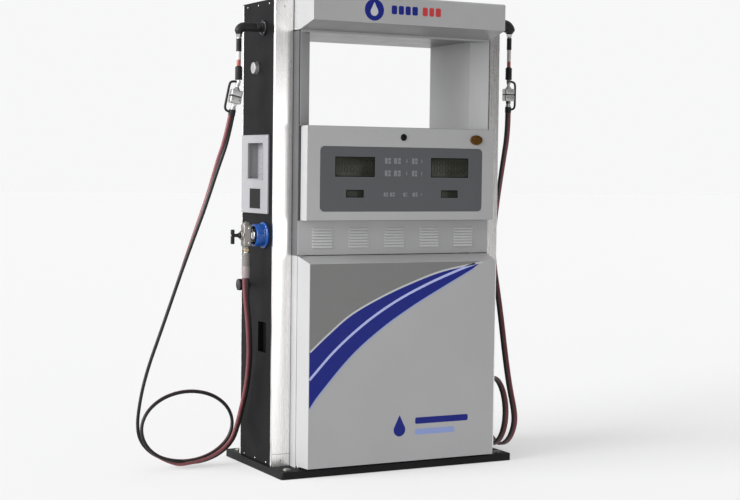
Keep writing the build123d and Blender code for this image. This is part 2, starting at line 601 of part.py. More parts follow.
drop = BREAKAWAY_L * math.cos(math.radians(LEAN))
side = BREAKAWAY_L * math.sin(math.radians(LEAN))
left_start = (whip_top_left[0] - side, whip_top_left[1], whip_top_left[2] - 200 - TILT_GAP - drop)
left_points = [
    left_start,
    (left_start[0] - 106 * math.sin(math.radians(LEAN)), -62, left_start[2] - 106 * math.cos(math.radians(LEAN))),
    (-783, -58, 1372),
    (-833, -48, 1204),
    (-882, -35, 1060),
    (-927, -10, 911),
    (-972, 30, 740),
    (-1012, 70, 586),
    (-1043, 106, 464),
    (-1066, 140, 330),
] + loop((-848, 165, 183), (1, 0, 0), (0, -48, 0), 228, 165) + [
    (-613, 64, 263),
    (-604, 32, 357),
    (-608, -8, 480),
    (-624, -42, 590),
    (-644, -68, 700),
    (NOZZLE_X, NOZZLE_Y, 790),
    (NOZZLE_X, NOZZLE_Y, BOOT_END),
]
turn = math.radians(78)
right_points = [
    (whip_top_right[0], whip_top_right[1], right_coupling_z - BREAKAWAY_L),
    (760, 30, 1530),
    (753, 58, 1385),
    (754, 98, 1225),
    (757, 137, 1060),
    (755, 133, 900),
    (752, 80, 740),
    (744, 30, 600),
    (730, -26, 460),
    (706, -108, 310),
] + loop((715, -20, 184), (math.cos(turn), math.sin(turn), 0), (-48 * math.sin(turn), 48 * math.cos(turn), 0),
         200, 165) + [
    (691, 197, 330),
    (684, 182, 470),
    (673, 142, 600),
    (663, 100, 700),
    (-NOZZLE_X, -NOZZLE_Y, 790),
    (-NOZZLE_X, -NOZZLE_Y, BOOT_END),
]


def hose(name, points):
    """A round tube along straight runs joined by the largest arcs they allow."""
    p = [Vector(*q) for q in points]
    radii = []
    for before, here, after in zip(p, p[1:], p[2:]):
        half = math.radians((here - before).get_angle(after - here)) / 2
        shorter = min((here - before).length, (after - here).length)
        radii.append(0.45 * shorter / math.tan(half))
    with BuildPart() as tube:
        with BuildLine() as path:
            FilletPolyline(*p, radius=radii)
        with BuildSketch(Plane(origin=path.line @ 0, z_dir=path.line % 0)):
            Circle(HOSE_D / 2)
        sweep(path=path.line)
    length = sum(edge.length for edge in path.line.edges())
    filled = tube.part.volume / (math.pi * HOSE_D**2 / 4 * length)
    print(name, "length", round(length), "volume ratio", round(filled, 4))
    print(name, "radii", [round(r) for r in radii])
    print(name, "lowest", round(tube.part.bounding_box().min.Z, 1))
    return tube


hose_left = hose("hose_left", left_points)
hose_right = hose("hose_right", right_points)

pieces = {
    "base_plate": base_plate,
    "inner_frame": inner_frame,
    "post_front_left": post_front_left,
    "post_front_right": post_front_right,
    "post_rear_left": post_rear_left,
    "post_rear_right": post_rear_right,
    "side_panel_left": side_panel_left,
    "side_panel_right": side_panel_right,
    "roof_panel": roof_panel,
    "header_front": header_front,
    "header_rear": header_rear,
    "window_surround": window_surround,
    "display_cover_front": display_cover_front,
    "display_cover_rear": display_cover_rear,
    "display_overlay_front": display_overlay_front,
    "display_overlay_rear": display_overlay_rear,
    "display_lcds_front": display_lcds_front,
    "display_lcds_rear": display_lcds_rear,
    "display_board_front": display_board_front,
    "display_board_rear": display_board_rear,
    "cover_latch_front": cover_latch_front,
    "cover_latch_rear": cover_latch_rear,
    "vent_panel_front": vent_panel_front,
    "vent_panel_rear": vent_panel_rear,
    "door_front": door_front,
    "door_rear": door_rear,
    "door_lock_front": door_lock_front,
    "door_lock_rear": door_lock_rear,
    "hinges_and_strikes": hinges_and_strikes,
    "inlet_manifold": inlet_manifold,
    "gas_filter": gas_filter,
    "solenoid_valves": solenoid_valves,
    "flow_meter_left": flow_meter_left,
    "flow_meter_right": flow_meter_right,
    "gas_pipework": gas_pipework,
    "computer_box": computer_box,
    "card_holder_left": card_holder_left,
    "card_holder_right": card_holder_right,
    "card_window_left": card_window_left,
    "card_window_right": card_window_right,
    "side_lock_left": side_lock_left,
    "side_lock_right": side_lock_right,
    "shutoff_knob_left": shutoff_knob_left,
    "shutoff_knob_right": shutoff_knob_right,
    "nozzle_cup_left": nozzle_cup_left,
    "nozzle_cup_right": nozzle_cup_right,
    "nozzle_left": nozzle_left,
    "nozzle_right": nozzle_right,
    "nozzle_lever_left": nozzle_lever_left,
    "nozzle_lever_right": nozzle_lever_right,
    "hose_boot_left": hose_boot_left,
    "hose_boot_right": hose_boot_right,
    "outlet_elbow_left": outlet_elbow_left,
    "outlet_elbow_right": outlet_elbow_right,
    "hose_whip_left": hose_whip_left,
    "hose_whip_right": hose_whip_right,
    "breakaway_left": breakaway_left,
    "breakaway_right": breakaway_right,
    "hose_left": hose_left,
    "hose_right": hose_right,
}
for name, piece in pieces.items():
    piece.part.label = name
    export_step(piece.part, f"parts/{name}.step")
print(len(pieces), "pieces")
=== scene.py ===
"""Double-sided gas dispenser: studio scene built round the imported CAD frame. Metres, Z up."""

import math

import bmesh
import bpy
from mathutils import Matrix, Vector


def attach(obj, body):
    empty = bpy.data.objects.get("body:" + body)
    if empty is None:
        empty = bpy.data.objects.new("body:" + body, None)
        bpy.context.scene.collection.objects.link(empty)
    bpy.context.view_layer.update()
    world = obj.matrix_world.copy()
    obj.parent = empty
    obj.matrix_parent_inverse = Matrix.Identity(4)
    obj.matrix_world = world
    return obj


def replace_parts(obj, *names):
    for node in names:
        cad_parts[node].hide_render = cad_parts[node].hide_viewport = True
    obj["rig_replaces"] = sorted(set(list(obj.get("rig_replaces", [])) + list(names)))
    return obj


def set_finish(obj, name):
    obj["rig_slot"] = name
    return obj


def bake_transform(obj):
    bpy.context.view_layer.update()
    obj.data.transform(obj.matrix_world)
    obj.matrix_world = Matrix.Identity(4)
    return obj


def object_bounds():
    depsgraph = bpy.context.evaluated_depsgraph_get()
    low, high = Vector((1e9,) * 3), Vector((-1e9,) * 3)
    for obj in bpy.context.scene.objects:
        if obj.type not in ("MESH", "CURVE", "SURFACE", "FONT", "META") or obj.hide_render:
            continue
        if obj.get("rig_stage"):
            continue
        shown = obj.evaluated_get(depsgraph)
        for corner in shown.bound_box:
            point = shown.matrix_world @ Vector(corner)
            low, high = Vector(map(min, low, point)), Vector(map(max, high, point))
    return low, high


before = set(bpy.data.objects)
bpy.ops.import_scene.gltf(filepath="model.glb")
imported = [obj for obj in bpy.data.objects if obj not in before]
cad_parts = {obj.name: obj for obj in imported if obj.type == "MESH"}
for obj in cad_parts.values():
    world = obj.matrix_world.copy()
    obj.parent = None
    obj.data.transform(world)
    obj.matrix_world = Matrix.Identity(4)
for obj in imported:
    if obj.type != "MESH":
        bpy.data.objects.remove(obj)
cad_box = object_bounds()
scene = bpy.context.scene
HALF_TURN = Matrix.Rotation(math.pi, 4, "Z")
UP, DOWN = (0, 0, 1), (0, 0, -1)

# ---- camera, floor and light ----

CAMERA_AT = (-3.3557, -6.4164, 1.3511)
YAW, PITCH, ROLL = (math.radians(a) for a in (27.5885, -2.9923, .7114))
LENS, SENSOR_WIDTH = 76.03, 36
SKY_STRENGTH, SKY_STOPS = .98, ((.24, .955), (.75, .6))
FLOOR_HALF, FLOOR_TONE, FLOOR_GLOW = 70, (.4, .4, .402), .46
KEY_FROM, KEY_POWER, KEY_ANGLE = (-.95, -.02, .3), 5.4, 50
STRIP_AT, STRIP_FROM = (2.05, -5.6, .86), (.35, -.93, 0.0)
STRIP_POWER, STRIP_SIZE = 18, (1.75, 1.6)
FLAG_TONE = (.02, .02, .02)
FLAG_CORNERS = [
    (3.15, -5.9, .02), (7.5, -4.7, .02), (7.5, -4.7, 4.6), (3.15, -5.9, 4.6),
    (0.0, -5.75, 2.3), (3.1, -5.75, 2.3), (3.1, -5.75, 4.6), (0.0, -5.75, 4.6),
]


def make_camera():
    ahead = Vector((math.sin(YAW) * math.cos(PITCH), math.cos(YAW) * math.cos(PITCH), math.sin(PITCH)))
    right = Vector((math.cos(YAW), -math.sin(YAW), 0))
    up = right.cross(ahead)
    across = right * math.cos(ROLL) + up * math.sin(ROLL)
    over = -right * math.sin(ROLL) + up * math.cos(ROLL)
    data = bpy.data.cameras.new("camera")
    data.sensor_width = SENSOR_WIDTH
    data.lens = LENS
    data.clip_end = 200
    cam = bpy.data.objects.new("camera", data)
    scene.collection.objects.link(cam)
    turn = Matrix((across, over, -ahead)).transposed().to_4x4()
    cam.matrix_world = Matrix.Translation(CAMERA_AT) @ turn
    scene.camera = cam


def make_sky():
    """A pale dome that is brightest low down."""
    world = bpy.data.worlds.new("studio")
    scene.world = world
    world.use_nodes = True
    tree = world.node_tree
    back = tree.nodes["Background"]
    back.inputs["Strength"].default_value = SKY_STRENGTH
    height = tree.nodes.new("ShaderNodeSeparateXYZ")
    tree.links.new(tree.nodes.new("ShaderNodeTexCoord").outputs["Generated"], height.inputs[0])
    dome = tree.nodes.new("ShaderNodeValToRGB")
    for spot, (at, v) in zip(dome.color_ramp.elements, SKY_STOPS):
        spot.position, spot.color = at, (v, v, v * 1.005, 1)
    tree.links.new(height.outputs["Z"], dome.inputs["Fac"])
    tree.links.new(dome.outputs["Color"], back.inputs["Color"])


def staged_sheet(name, corners, material_name, tone):
    """A flat sheet of the studio, four corners to a face, and the shader of its rough material."""
    mesh = bpy.data.meshes.new(name)
    mesh.from_pydata(corners, [], [tuple(range(k, k + 4)) for k in range(0, len(corners), 4)])
    sheet = bpy.data.objects.new(name, mesh)
    scene.collection.objects.link(sheet)
    material = bpy.data.materials.new(material_name)
    material.use_nodes = True
    shader = material.node_tree.nodes["Principled BSDF"]
    shader.inputs["Base Color"].default_value = (*tone, 1)
    shader.inputs["Roughness"].default_value = 1
    mesh.materials.append(material)
    sheet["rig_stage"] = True
    return sheet, shader


def lamp(name, kind, power, way, at=(0, 0, 0)):
    """A light shining from that way, and its data."""
    data = bpy.data.lights.new(name, kind)
    data.energy = power
    holder = bpy.data.objects.new(name, data)
    scene.collection.objects.link(holder)
    holder.location = at
    holder.rotation_mode = "QUATERNION"
    holder.rotation_quaternion = Vector(way).to_track_quat("Z", "Y")
    return data


def make_studio():
    scene.view_settings.view_transform = "Standard"
    make_sky()
    s = FLOOR_HALF
    _, shader = staged_sheet("studio_floor", [(-s, -s, 0), (s, -s, 0), (s, s, 0), (-s, s, 0)],
        "pale_floor", FLOOR_TONE)
    shader.inputs["Emission Color"].default_value = (1, 1, 1, 1)
    shader.inputs["Emission Strength"].default_value = FLOOR_GLOW
    shader.inputs["Specular IOR Level"].default_value = 0
    lamp("soft_key", "SUN", KEY_POWER, KEY_FROM).angle = math.radians(KEY_ANGLE)
    strip = lamp("soft_strip", "AREA", STRIP_POWER, STRIP_FROM, STRIP_AT)
    strip.shape = "RECTANGLE"
    strip.size, strip.size_y = STRIP_SIZE
    # Dark sheets beside and above the strip light, seen only in the steel posts.
    flag, _ = staged_sheet("black_flag", FLAG_CORNERS, "black_felt", FLAG_TONE)
    flag.visible_camera = False


make_camera()
make_studio()

# ---- materials ----

MAT = {}


class Nodes:
    """A small hand on the node tree of a new material, which it enters in MAT."""

    def __init__(self, name):
        material = MAT[name] = bpy.data.materials.new(name)
        material.use_nodes = True
        self.t = material.node_tree
        self.bsdf = self.t.nodes["Principled BSDF"]
        self.place = self.t.nodes.new("ShaderNodeTexCoord").outputs["Object"]

    def add(self, kind, **sockets):
        n = self.t.nodes.new("ShaderNode" + kind)
        for key, value in sockets.items():
            n.inputs[key.replace("_", " ")].default_value = value
        return n

    def link(self, a, b):
        self.t.links.new(a, b)

    def scaled(self, scale):
        n = self.add("Mapping", Scale=scale)
        self.link(self.place, n.inputs["Vector"])
        return n.outputs["Vector"]

    def noise(self, scale, detail=4.0, rough=.55, distortion=0.0):
        stretched = isinstance(scale, tuple)
        n = self.add("TexNoise", Scale=1 if stretched else scale, Detail=detail, Roughness=rough,
            Distortion=distortion)
        self.link(self.scaled(scale) if stretched else self.place, n.inputs["Vector"])
        return n.outputs["Fac"]

    def ramp(self, source, stops):
        n = self.add("ValToRGB")
        e = n.color_ramp.elements
        while len(e) < len(stops):
            e.new(.5)
        for spot, (at, colour) in zip(e, stops):
            spot.position, spot.color = at, (*colour, 1)
        self.link(source, n.inputs["Fac"])
        return n.outputs["Color"]

    def spread(self, source, low, high, out_low, out_high):
        n = self.add("MapRange")
        for i, v in enumerate((low, high, out_low, out_high)):
            n.inputs[i + 1].default_value = v
        self.link(source, n.inputs[0])
        return n.outputs[0]

    def mix(self, fac, a, b):
        n = self.add("Mix")
        n.data_type = "RGBA"
        if isinstance(fac, float):
            n.inputs[0].default_value = fac
        else:
            self.link(fac, n.inputs[0])
        for socket, value in ((n.inputs[6], a), (n.inputs[7], b)):
            if isinstance(value, tuple):
                socket.default_value = (*value, 1)
            else:
                self.link(value, socket)
        return n.outputs[2]

    def bump(self, source, strength, distance):
        n = self.add("Bump", Strength=strength, Distance=distance)
        self.link(source, n.inputs["Height"])
        self.link(n.outputs["Normal"], self.bsdf.inputs["Normal"])

    def colour(self, source):
        self.link(source, self.bsdf.inputs["Base Color"])

    def gloss(self, source, low, high, rough_low, rough_high):
        """Roughness that follows a pattern between two values."""
        self.link(self.spread(source, low, high, rough_low, rough_high), self.bsdf.inputs["Roughness"])

    def set(self, **sockets):
        for key, value in sockets.items():
            self.bsdf.inputs[key.replace("_", " ")].default_value = value


def shade(c, k):
    return tuple(min(1.0, v * k) for v in c)


def paint(name, colour, rough, peel=.1, coat=.25, grime=.05, scale=420, spec=.45):
    """Powder coat: fine orange peel, faint cloudiness and a little dust."""
    n = Nodes(name)
    cloud = n.noise(2.6, 3)
    fine = n.noise(scale, 3)
    colour_a = n.ramp(cloud, [(.3, shade(colour, 1 - grime)), (.7, shade(colour, 1 + grime * .6))])
    speck = n.ramp(n.noise(1500, 2), [(.3, shade(colour, .9)), (.36, colour)])
    n.colour(n.mix(.35, colour_a, speck))
    n.gloss(n.noise(9, 4), .3, .7, rough - .04, rough + .06)
    n.set(Coat_Weight=coat, Coat_Roughness=.18, Specular_IOR_Level=spec)
    n.bump(fine, peel, .0006)


def paint_with_shaded_underside(name, dark, light):
    """Paint that is darker on faces looking straight down: painted shade for the shadow under the
    header and under the window's top.
    """
    n = Nodes(name)
    up = n.add("SeparateXYZ")
    n.link(n.add("NewGeometry").outputs["Normal"], up.inputs[0])
    cloud = n.ramp(n.noise(2.6, 3), [(.3, shade(light, .95)), (.7, shade(light, 1.03))])
    # dark is painted shade, mixed in where the face looks down.
    n.colour(n.mix(n.spread(up.outputs["Z"], -.9, -.6, 1.0, 0.0), cloud, dark))
    n.gloss(n.noise(9, 4), .3, .7, .38, .48)
    n.set(Coat_Weight=.25, Coat_Roughness=.18, Specular_IOR_Level=.45)
    n.bump(n.noise(420, 3), .1, .0006)


def frame_coat(name, low, high, split):
    """Frame members: paint matched to the door below the split height; above it a dark tone that is
    painted shade, standing in for the shaded strips beside the vent and the display cover.
    """
    n = Nodes(name)
    at = n.add("SeparateXYZ")
    n.link(n.place, at.inputs[0])
    cloud = n.noise(6, 4)
    below = n.ramp(cloud, [(.3, shade(low, .94)), (.7, shade(low, 1.03))])
    above = n.ramp(cloud, [(.3, shade(high, .82)), (.7, shade(high, 1.12))])
    # The dark tone above the split is painted shade.
    n.colour(n.mix(n.spread(at.outputs["Z"], split - .0005, split + .0005, 0.0, 1.0), below, above))
    n.gloss(cloud, .3, .7, .44, .58)
    n.set(Specular_IOR_Level=.35)
    n.bump(n.noise(420, 3), .12, .0006)


def brushed(name, colour, rough, scale=(900, 900, 5), smudge=.05):
    """Sheet metal with a brushed grain, and faint wiping marks."""
    n = Nodes(name)
    grain = n.noise(scale, 5, .65)
    wipe = n.noise((5, 5, 1.4), 4, .5, .6)
    light = n.ramp(grain, [(.28, shade(colour, .88)), (.52, colour), (.78, shade(colour, 1.06))])
    n.colour(n.mix(n.spread(wipe, .42, .75, 0.0, smudge), light, shade(colour, .86)))
    n.gloss(grain, .2, .8, rough - .06, rough + .08)
    n.set(Metallic=1.0)
    n.bump(grain, .05, .0004)


def metal(name, colour, rough, mottle=.08, scale=140, bump=.06, dirt=.25):
    """Plated, cast or machined metal with mottling and a little dirt in the low places."""
    n = Nodes(name)
    a = n.noise(scale, 5, .6)
    b = n.noise(scale * .18, 3)
    base = n.ramp(a, [(.25, shade(colour, 1 - mottle * 2)), (.6, colour),
        (.85, shade(colour, 1 + mottle))])
    n.colour(n.mix(n.spread(b, .55, .8, 0.0, dirt), base, shade(colour, .55)))
    n.gloss(a, .2, .8, max(.03, rough - .08), rough + .1)
    n.set(Metallic=1.0)
    n.bump(a, bump, .0005)


def plastic(name, colour, rough, grain=700, bump=.08, coat=0.0, tint=.06, spec=.5):
    """Moulded plastic or rubber with spark-eroded grain."""
    n = Nodes(name)
    g = n.noise(grain, 3, .6)
    c = n.noise(14, 3)
    a = n.ramp(g, [(.3, shade(colour, 1 - tint)), (.7, shade(colour, 1 + tint))])
    n.colour(n.mix(n.spread(c, .4, .8, 0.0, .3), a, shade(colour, 1.18)))
    n.gloss(c, .3, .7, max(.03, rough - .05), rough + .07)
    n.set(Coat_Weight=coat, Coat_Roughness=.08, Specular_IOR_Level=spec)
    n.bump(g, bump, .0004)


def hose_cover(name, colour, rough, dust):
    """Wrapped rubber: a fine cloth imprint across the hose, scuffs and dust."""
    n = Nodes(name)
    weave = n.noise((1400, 1400, 2600), 2, .6)
    scuff = n.noise(38, 5, .7)
    a = n.ramp(weave, [(.3, shade(colour, .8)), (.7, shade(colour, 1.15))])
    n.colour(n.mix(n.spread(scuff, .56, .72, 0.0, dust), a, (.2, .165, .155)))
    n.gloss(scuff, .3, .7, rough - .06, rough + .12)
    n.set(Specular_IOR_Level=.28)
    n.bump(weave, .22, .0004)


def display_glass(name, dark, light):
    """Unlit display: a dark olive pane with soft uneven tone."""
    n = Nodes(name)
    soft = n.noise((5, 5, 12), 2, .5, .8)
    lines = n.noise((3, 3, 900), 1)
    a = n.ramp(soft, [(.3, dark), (.7, light)])
    n.colour(n.mix(n.spread(lines, .4, .7, 0.0, .18), a, shade(dark, .6)))
    n.gloss(soft, .3, .7, .08, .16)
    n.set(Specular_IOR_Level=.1)


def board(name):
    """Green circuit board with tracks and pads."""
    n = Nodes(name)
    cells = n.add("TexVoronoi", Scale=1)
    cells.feature, cells.distance = "DISTANCE_TO_EDGE", "MANHATTAN"
    n.link(n.scaled((160, 1, 160)), cells.inputs["Vector"])
    tracks = n.ramp(cells.outputs["Distance"], [(.04, (.05, .22, .09)),
        (.07, (.012, .085, .035))])
    pads = n.ramp(n.noise(260, 0), [(.68, (0, 0, 0)), (.7, (1, 1, 1))])
    n.colour(n.mix(pads, tracks, (.55, .52, .4)))
    n.gloss(n.noise(40), .3, .7, .28, .42)
    n.bump(cells.outputs["Distance"], .2, .0003)


PAINT = (.325, .325, .329)
paint("white_paint", PAINT, .42)
paint("black_paint", (.0065, .0065, .0072), .5, peel=.14, coat=0.0, grime=.1, spec=.06)
paint("base_paint", (.01, .01, .0105), .6, peel=.25, coat=0.0, grime=.25, scale=240, spec=.12)
# Inner frame: door paint below the door top, painted shade above it.
frame_coat("frame_coat", PAINT, (.075, .075, .078), .965)
# Header and window surround: plain paint with painted shade on the downward faces, deepest under the
# window's top.
paint_with_shaded_underside("header_paint", shade(PAINT, .62), PAINT)
paint_with_shaded_underside("window_paint", shade(PAINT, .3), PAINT)
# Louvre hoods: the panel paint made brighter, painted light for the light the hoods catch.
paint("hood_paint", shade(PAINT, 1.45), .42)
brushed("stainless", (.99, .975, .955), .26, smudge=.03)
metal("zinc_plate", (.3, .3, .28), .36, mottle=.12, scale=90)
metal("plated_steel", (.52, .515, .5), .26, mottle=.05, scale=160, dirt=.18)
brushed("machined", (.42, .415, .4), .28, scale=(220, 220, 1400))
metal("cast_body", (.52, .53, .54), .5, mottle=.1, scale=420, bump=.25)
metal("silver_cast", (.5, .5, .495), .44, mottle=.06, scale=380, bump=.14, dirt=.12)
metal("nozzle_cast", (.27, .255, .24), .44, mottle=.1, scale=380, bump=.14, dirt=.25)
metal("bronze", (.145, .07, .018), .3, mottle=.15, scale=60, dirt=.35)
metal("brass", (.4, .31, .17), .3, mottle=.08, scale=120)
plastic("pale_plastic", (.245, .242, .255), .5)
plastic("pocket_plastic", (.2, .2, .205), .5)
plastic("black_plastic", (.01, .01, .011), .45, spec=.25)
plastic("black_gloss", (.006, .006, .007), .16, grain=90, bump=.01, spec=.06)
plastic("blue_plastic", (.006, .06, .27), .26, bump=.04, coat=.2, spec=.35)
plastic("overlay_film", (.072, .074, .08), .4, grain=1800, bump=.12, tint=.04, spec=.3)
display_glass("display_glass", (.014, .0145, .011), (.04, .04, .031))
plastic("segment", (.018, .018, .0145), .25, bump=0.0, spec=.1)
board("circuit_board")
plastic("label_white", (.165, .17, .185), .45, bump=.02, spec=.3)
plastic("gasket", (.012, .012, .012), .7, grain=300, bump=.3)
plastic("vinyl_blue", (.008, .014, .165), .36, grain=900, bump=.03, tint=.05, spec=.15)
plastic("vinyl_pale", (.34, .38, .66), .34, bump=.02)
plastic("vinyl_edge", (.2, .26, .5), .34, bump=.02)
plastic("vinyl_line", (.42, .43, .45), .36, bump=.02)
plastic("vinyl_grey", (.142, .142, .14), .4, grain=1300, bump=.05, tint=.1)
plastic("vinyl_red", (.42, .03, .035), .32, bump=.02)
hose_cover("hose_black", (.011, .01, .01), .4, .02)
hose_cover("hose_red", (.17, .05, .056), .36, .35)
plastic("sleeve_black", (.011, .011, .011), .45, grain=300, bump=.15, spec=.25)
plastic("sleeve_white", (.46, .43, .435), .4, grain=300, bump=.08)
plastic("sleeve_orange", (.3, .06, .04), .4, grain=300, bump=.08)
plastic("sleeve_grey", (.155, .145, .14), .48, grain=260, bump=.12)
plastic("sleeve_mauve", (.215, .18, .185), .48, grain=260, bump=.12)

# ---- mesh tools ----


def frame_of(axis, side=None):
    """A right-handed frame whose Z runs along axis and whose X lies nearest side."""
    z = Vector(axis).normalized()
    hint = Vector(side or (UP if abs(z.z) < .9 else (1, 0, 0)))
    x = (hint - z * hint.dot(z)).normalized()
    return Matrix((x, z.cross(x), z)).transposed().to_4x4()


def disc(cx, cy, r, n=40):
    """The outline of a circle."""
    return [(cx + r * math.cos(math.tau * i / n), cy + r * math.sin(math.tau * i / n))
        for i in range(n)]


class Piece:
    """One object made of several welded or nested shapes, each with its material."""

    def __init__(self, name, *materials):
        self.name, self.bm = name, bmesh.new()
        self.materials = list(materials)

    def index(self, material):
        if material not in self.materials:
            self.materials.append(material)
        return self.materials.index(material)

    def absorb(self, bm, matrix=None):
        if matrix is not None:
            bm.transform(matrix)
        mesh = bpy.data.meshes.new("part")
        bm.to_mesh(mesh)
        bm.free()
        self.bm.from_mesh(mesh)
        bpy.data.meshes.remove(mesh)

    def take(self, bm, material, matrix=None):
        for f in bm.faces:
            f.material_index = self.index(material)
        self.absorb(bm, matrix)

    def box(self, lo, hi, material, r=.001, seg=2, matrix=None):
        """A block with all its edges rolled over by r."""
        bm = bmesh.new()
        bmesh.ops.create_cube(bm, size=1)
        lo, hi = Vector(lo), Vector(hi)
        size, mid = hi - lo, (hi + lo) / 2
        for v in bm.verts:
            v.co = Vector((v.co.x * size.x, v.co.y * size.y, v.co.z * size.z)) + mid
        if r:
            bmesh.ops.bevel(bm, geom=bm.edges[:], offset=r, segments=seg, affect="EDGES", profile=.6)
        self.take(bm, material, matrix)

    def prism(self, outline, depth, material, matrix):
        """A plate with that outline in its own XY plane, from 0 to depth along Z."""
        bm = bmesh.new()
        base = bm.faces.new([bm.verts.new((x, y, 0)) for x, y in outline])
        for v in bmesh.ops.extrude_face_region(bm, geom=[base])["geom"]:
            if isinstance(v, bmesh.types.BMVert):
                v.co.z = depth
        bmesh.ops.recalc_face_normals(bm, faces=bm.faces[:])
        self.take(bm, material, matrix)

    def lathe(self, origin, axis, profile, material="plated_steel", n=40, side=None, sides=None,
            matrix=None):
        """A turned shape: profile is (along axis, radius[, material]) from end to end.
        sides gives a polygon such as a hexagon nut instead of a circle."""
        n = sides or n
        place = Matrix.Translation(Vector(origin)) @ frame_of(axis, side)
        if matrix is not None:
            place = matrix @ place
        rows, looks = [], []
        bm = bmesh.new()
        for row in profile:
            along, radius = row[0], row[1]
            looks.append(row[2] if len(row) > 2 else material)
            if radius < 1e-7:
                rows.append([bm.verts.new((0, 0, along))])
            else:
                rows.append([bm.verts.new((x, y, along)) for x, y in disc(0, 0, radius, n)])
        faces = {}
        for k, (a, b) in enumerate(zip(rows, rows[1:])):
            for i in range(n):
                j = (i + 1) % n
                quad = [a[i % len(a)], a[j % len(a)], b[j % len(b)], b[i % len(b)]]
                quad = list(dict.fromkeys(quad))
                if len(quad) > 2:
                    faces.setdefault(looks[k + 1], []).append(bm.faces.new(quad))
        for row in (rows[0], rows[-1]):
            if len(row) > 1:
                faces.setdefault(looks[0 if row is rows[0] else -1], []).append(bm.faces.new(row))
        for look, group in faces.items():
            for f in group:
                f.material_index = self.index(look)
        bmesh.ops.recalc_face_normals(bm, faces=bm.faces[:])
        self.absorb(bm, place)

    def tube(self, line, radius, material, n):
        """A round tube along points, with a radius that may be a function of the share run."""
        bm = bmesh.new()
        rows = []
        side = None
        for i, p in enumerate(line):
            a, b = line[max(0, i - 1)], line[min(len(line) - 1, i + 1)]
            t = (Vector(b) - Vector(a)).normalized()
            if side is None:
                side = frame_of(t).col[0].to_3d()
            side = (side - t * side.dot(t)).normalized()
            other = t.cross(side)
            r = radius(i / (len(line) - 1)) if callable(radius) else radius
            rows.append([bm.verts.new(Vector(p) + side * (r * math.cos(math.tau * k / n))
                + other * (r * math.sin(math.tau * k / n))) for k in range(n)])
        for a, b in zip(rows, rows[1:]):
            for k in range(n):
                bm.faces.new((a[k], a[(k + 1) % n], b[(k + 1) % n], b[k]))
        bm.faces.new(rows[0])
        bm.faces.new(rows[-1])
        bmesh.ops.recalc_face_normals(bm, faces=bm.faces[:])
        self.take(bm, material)

    def screw(self, at, normal, radius, height=None):
        """A button head with a hexagon socket."""
        h = height or radius * .6
        self.lathe(at, normal, [(0, radius * .98), (h * .35, radius), (h * .75, radius * .82),
            (h, radius * .5)], n=24)
        self.lathe(Vector(at) + Vector(normal).normalized() * h, normal,
                   [(.00002, radius * .44), (.00004, radius * .36)], "gasket", sides=6)

    def screws(self, at, ring, normal, radius):
        """Four screws in a ring round a point of a side face."""
        x, y, z = at
        for k in range(4):
            a = math.radians(45 + 90 * k)
            self.screw((x, y + ring * math.cos(a), z + ring * math.sin(a)), normal, radius)

    def hexagon(self, at, normal, radius, height, material="plated_steel"):
        """A hexagon head or nut with chamfered corners."""
        self.lathe(at, normal, [(0, radius * .97), (height * .12, radius), (height * .8, radius),
            (height, radius * .86)], material, sides=6)

    def done(self, body, *replaced, slot=None, angle=32):
        mesh = bpy.data.meshes.new(self.name)
        self.bm.to_mesh(mesh)
        self.bm.free()
        for material in self.materials:
            mesh.materials.append(MAT[material])
        mesh.polygons.foreach_set("use_smooth", [True] * len(mesh.polygons))
        mesh.set_sharp_from_angle(angle=math.radians(angle))
        obj = bpy.data.objects.new(self.name, mesh)
        scene.collection.objects.link(obj)
        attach(obj, body)
        if replaced:
            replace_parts(obj, *replaced)
        if slot:
            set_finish(obj, slot)
        return obj


def twin(obj, old, new, body):
    """The same piece on the other side of the cabinet, riding on the matching body."""
    copy = bpy.data.objects.new(obj.name.replace(old, new), obj.data.copy())
    copy.data.transform(HALF_TURN)
    scene.collection.objects.link(copy)
    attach(copy, body)
    if "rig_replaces" in obj:
        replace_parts(copy, *[n.replace(old, new) for n in obj["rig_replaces"]])
    if "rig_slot" in obj:
        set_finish(copy, obj["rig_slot"])
    return copy


def through(points, n):
    """A smooth curve through all the points but the first and the last, which only steer it."""
    out = []
    for a, b, c, d in zip(points, points[1:], points[2:], points[3:]):
        for t in (i / n for i in range(n)):
            out.append((b * 2 + (c - a) * t + (a * 2 - b * 5 + c * 4 - d) * t ** 2
                        + (b * 3 - a - c * 3 + d) * t ** 3) / 2)
    return out + [points[-2]]


def ribs(count, start, pitch, radii, offsets):
    """Profile points of a run of grooves, the same four at each pitch."""
    return [(start + k * pitch + o, r) for k in range(count) for r, o in zip(radii, offsets)]


def rounded(x0, x1, y0, y1, r, n=6):
    """The outline of a rectangle with round corners."""
    points = []
    for cx, cy, start in ((x1 - r, y1 - r, 0), (x0 + r, y1 - r, 90), (x0 + r, y0 + r, 180),
            (x1 - r, y0 + r, 270)):
        for i in range(n + 1):
            a = math.radians(start + 90 * i / n)
            points.append((cx + r * math.cos(a), cy + r * math.sin(a)))
    return points


# ---- hoses ----

STEP, SPACING = 30, .006


def loop(centre, along, drift, a, b):
    """Points of the loose loop, one and a half turns from its far side."""
    points = []
    for i in range(3 * 180 // STEP + 1):
        t = math.radians(180 + STEP * i)
        u, v, f = a * math.cos(t), b * math.sin(t), i / (360 / STEP)
        points.append(tuple(centre[k] + along[k] * u + (0, 0, v)[k] + drift[k] * f for k in range(3)))
    return points


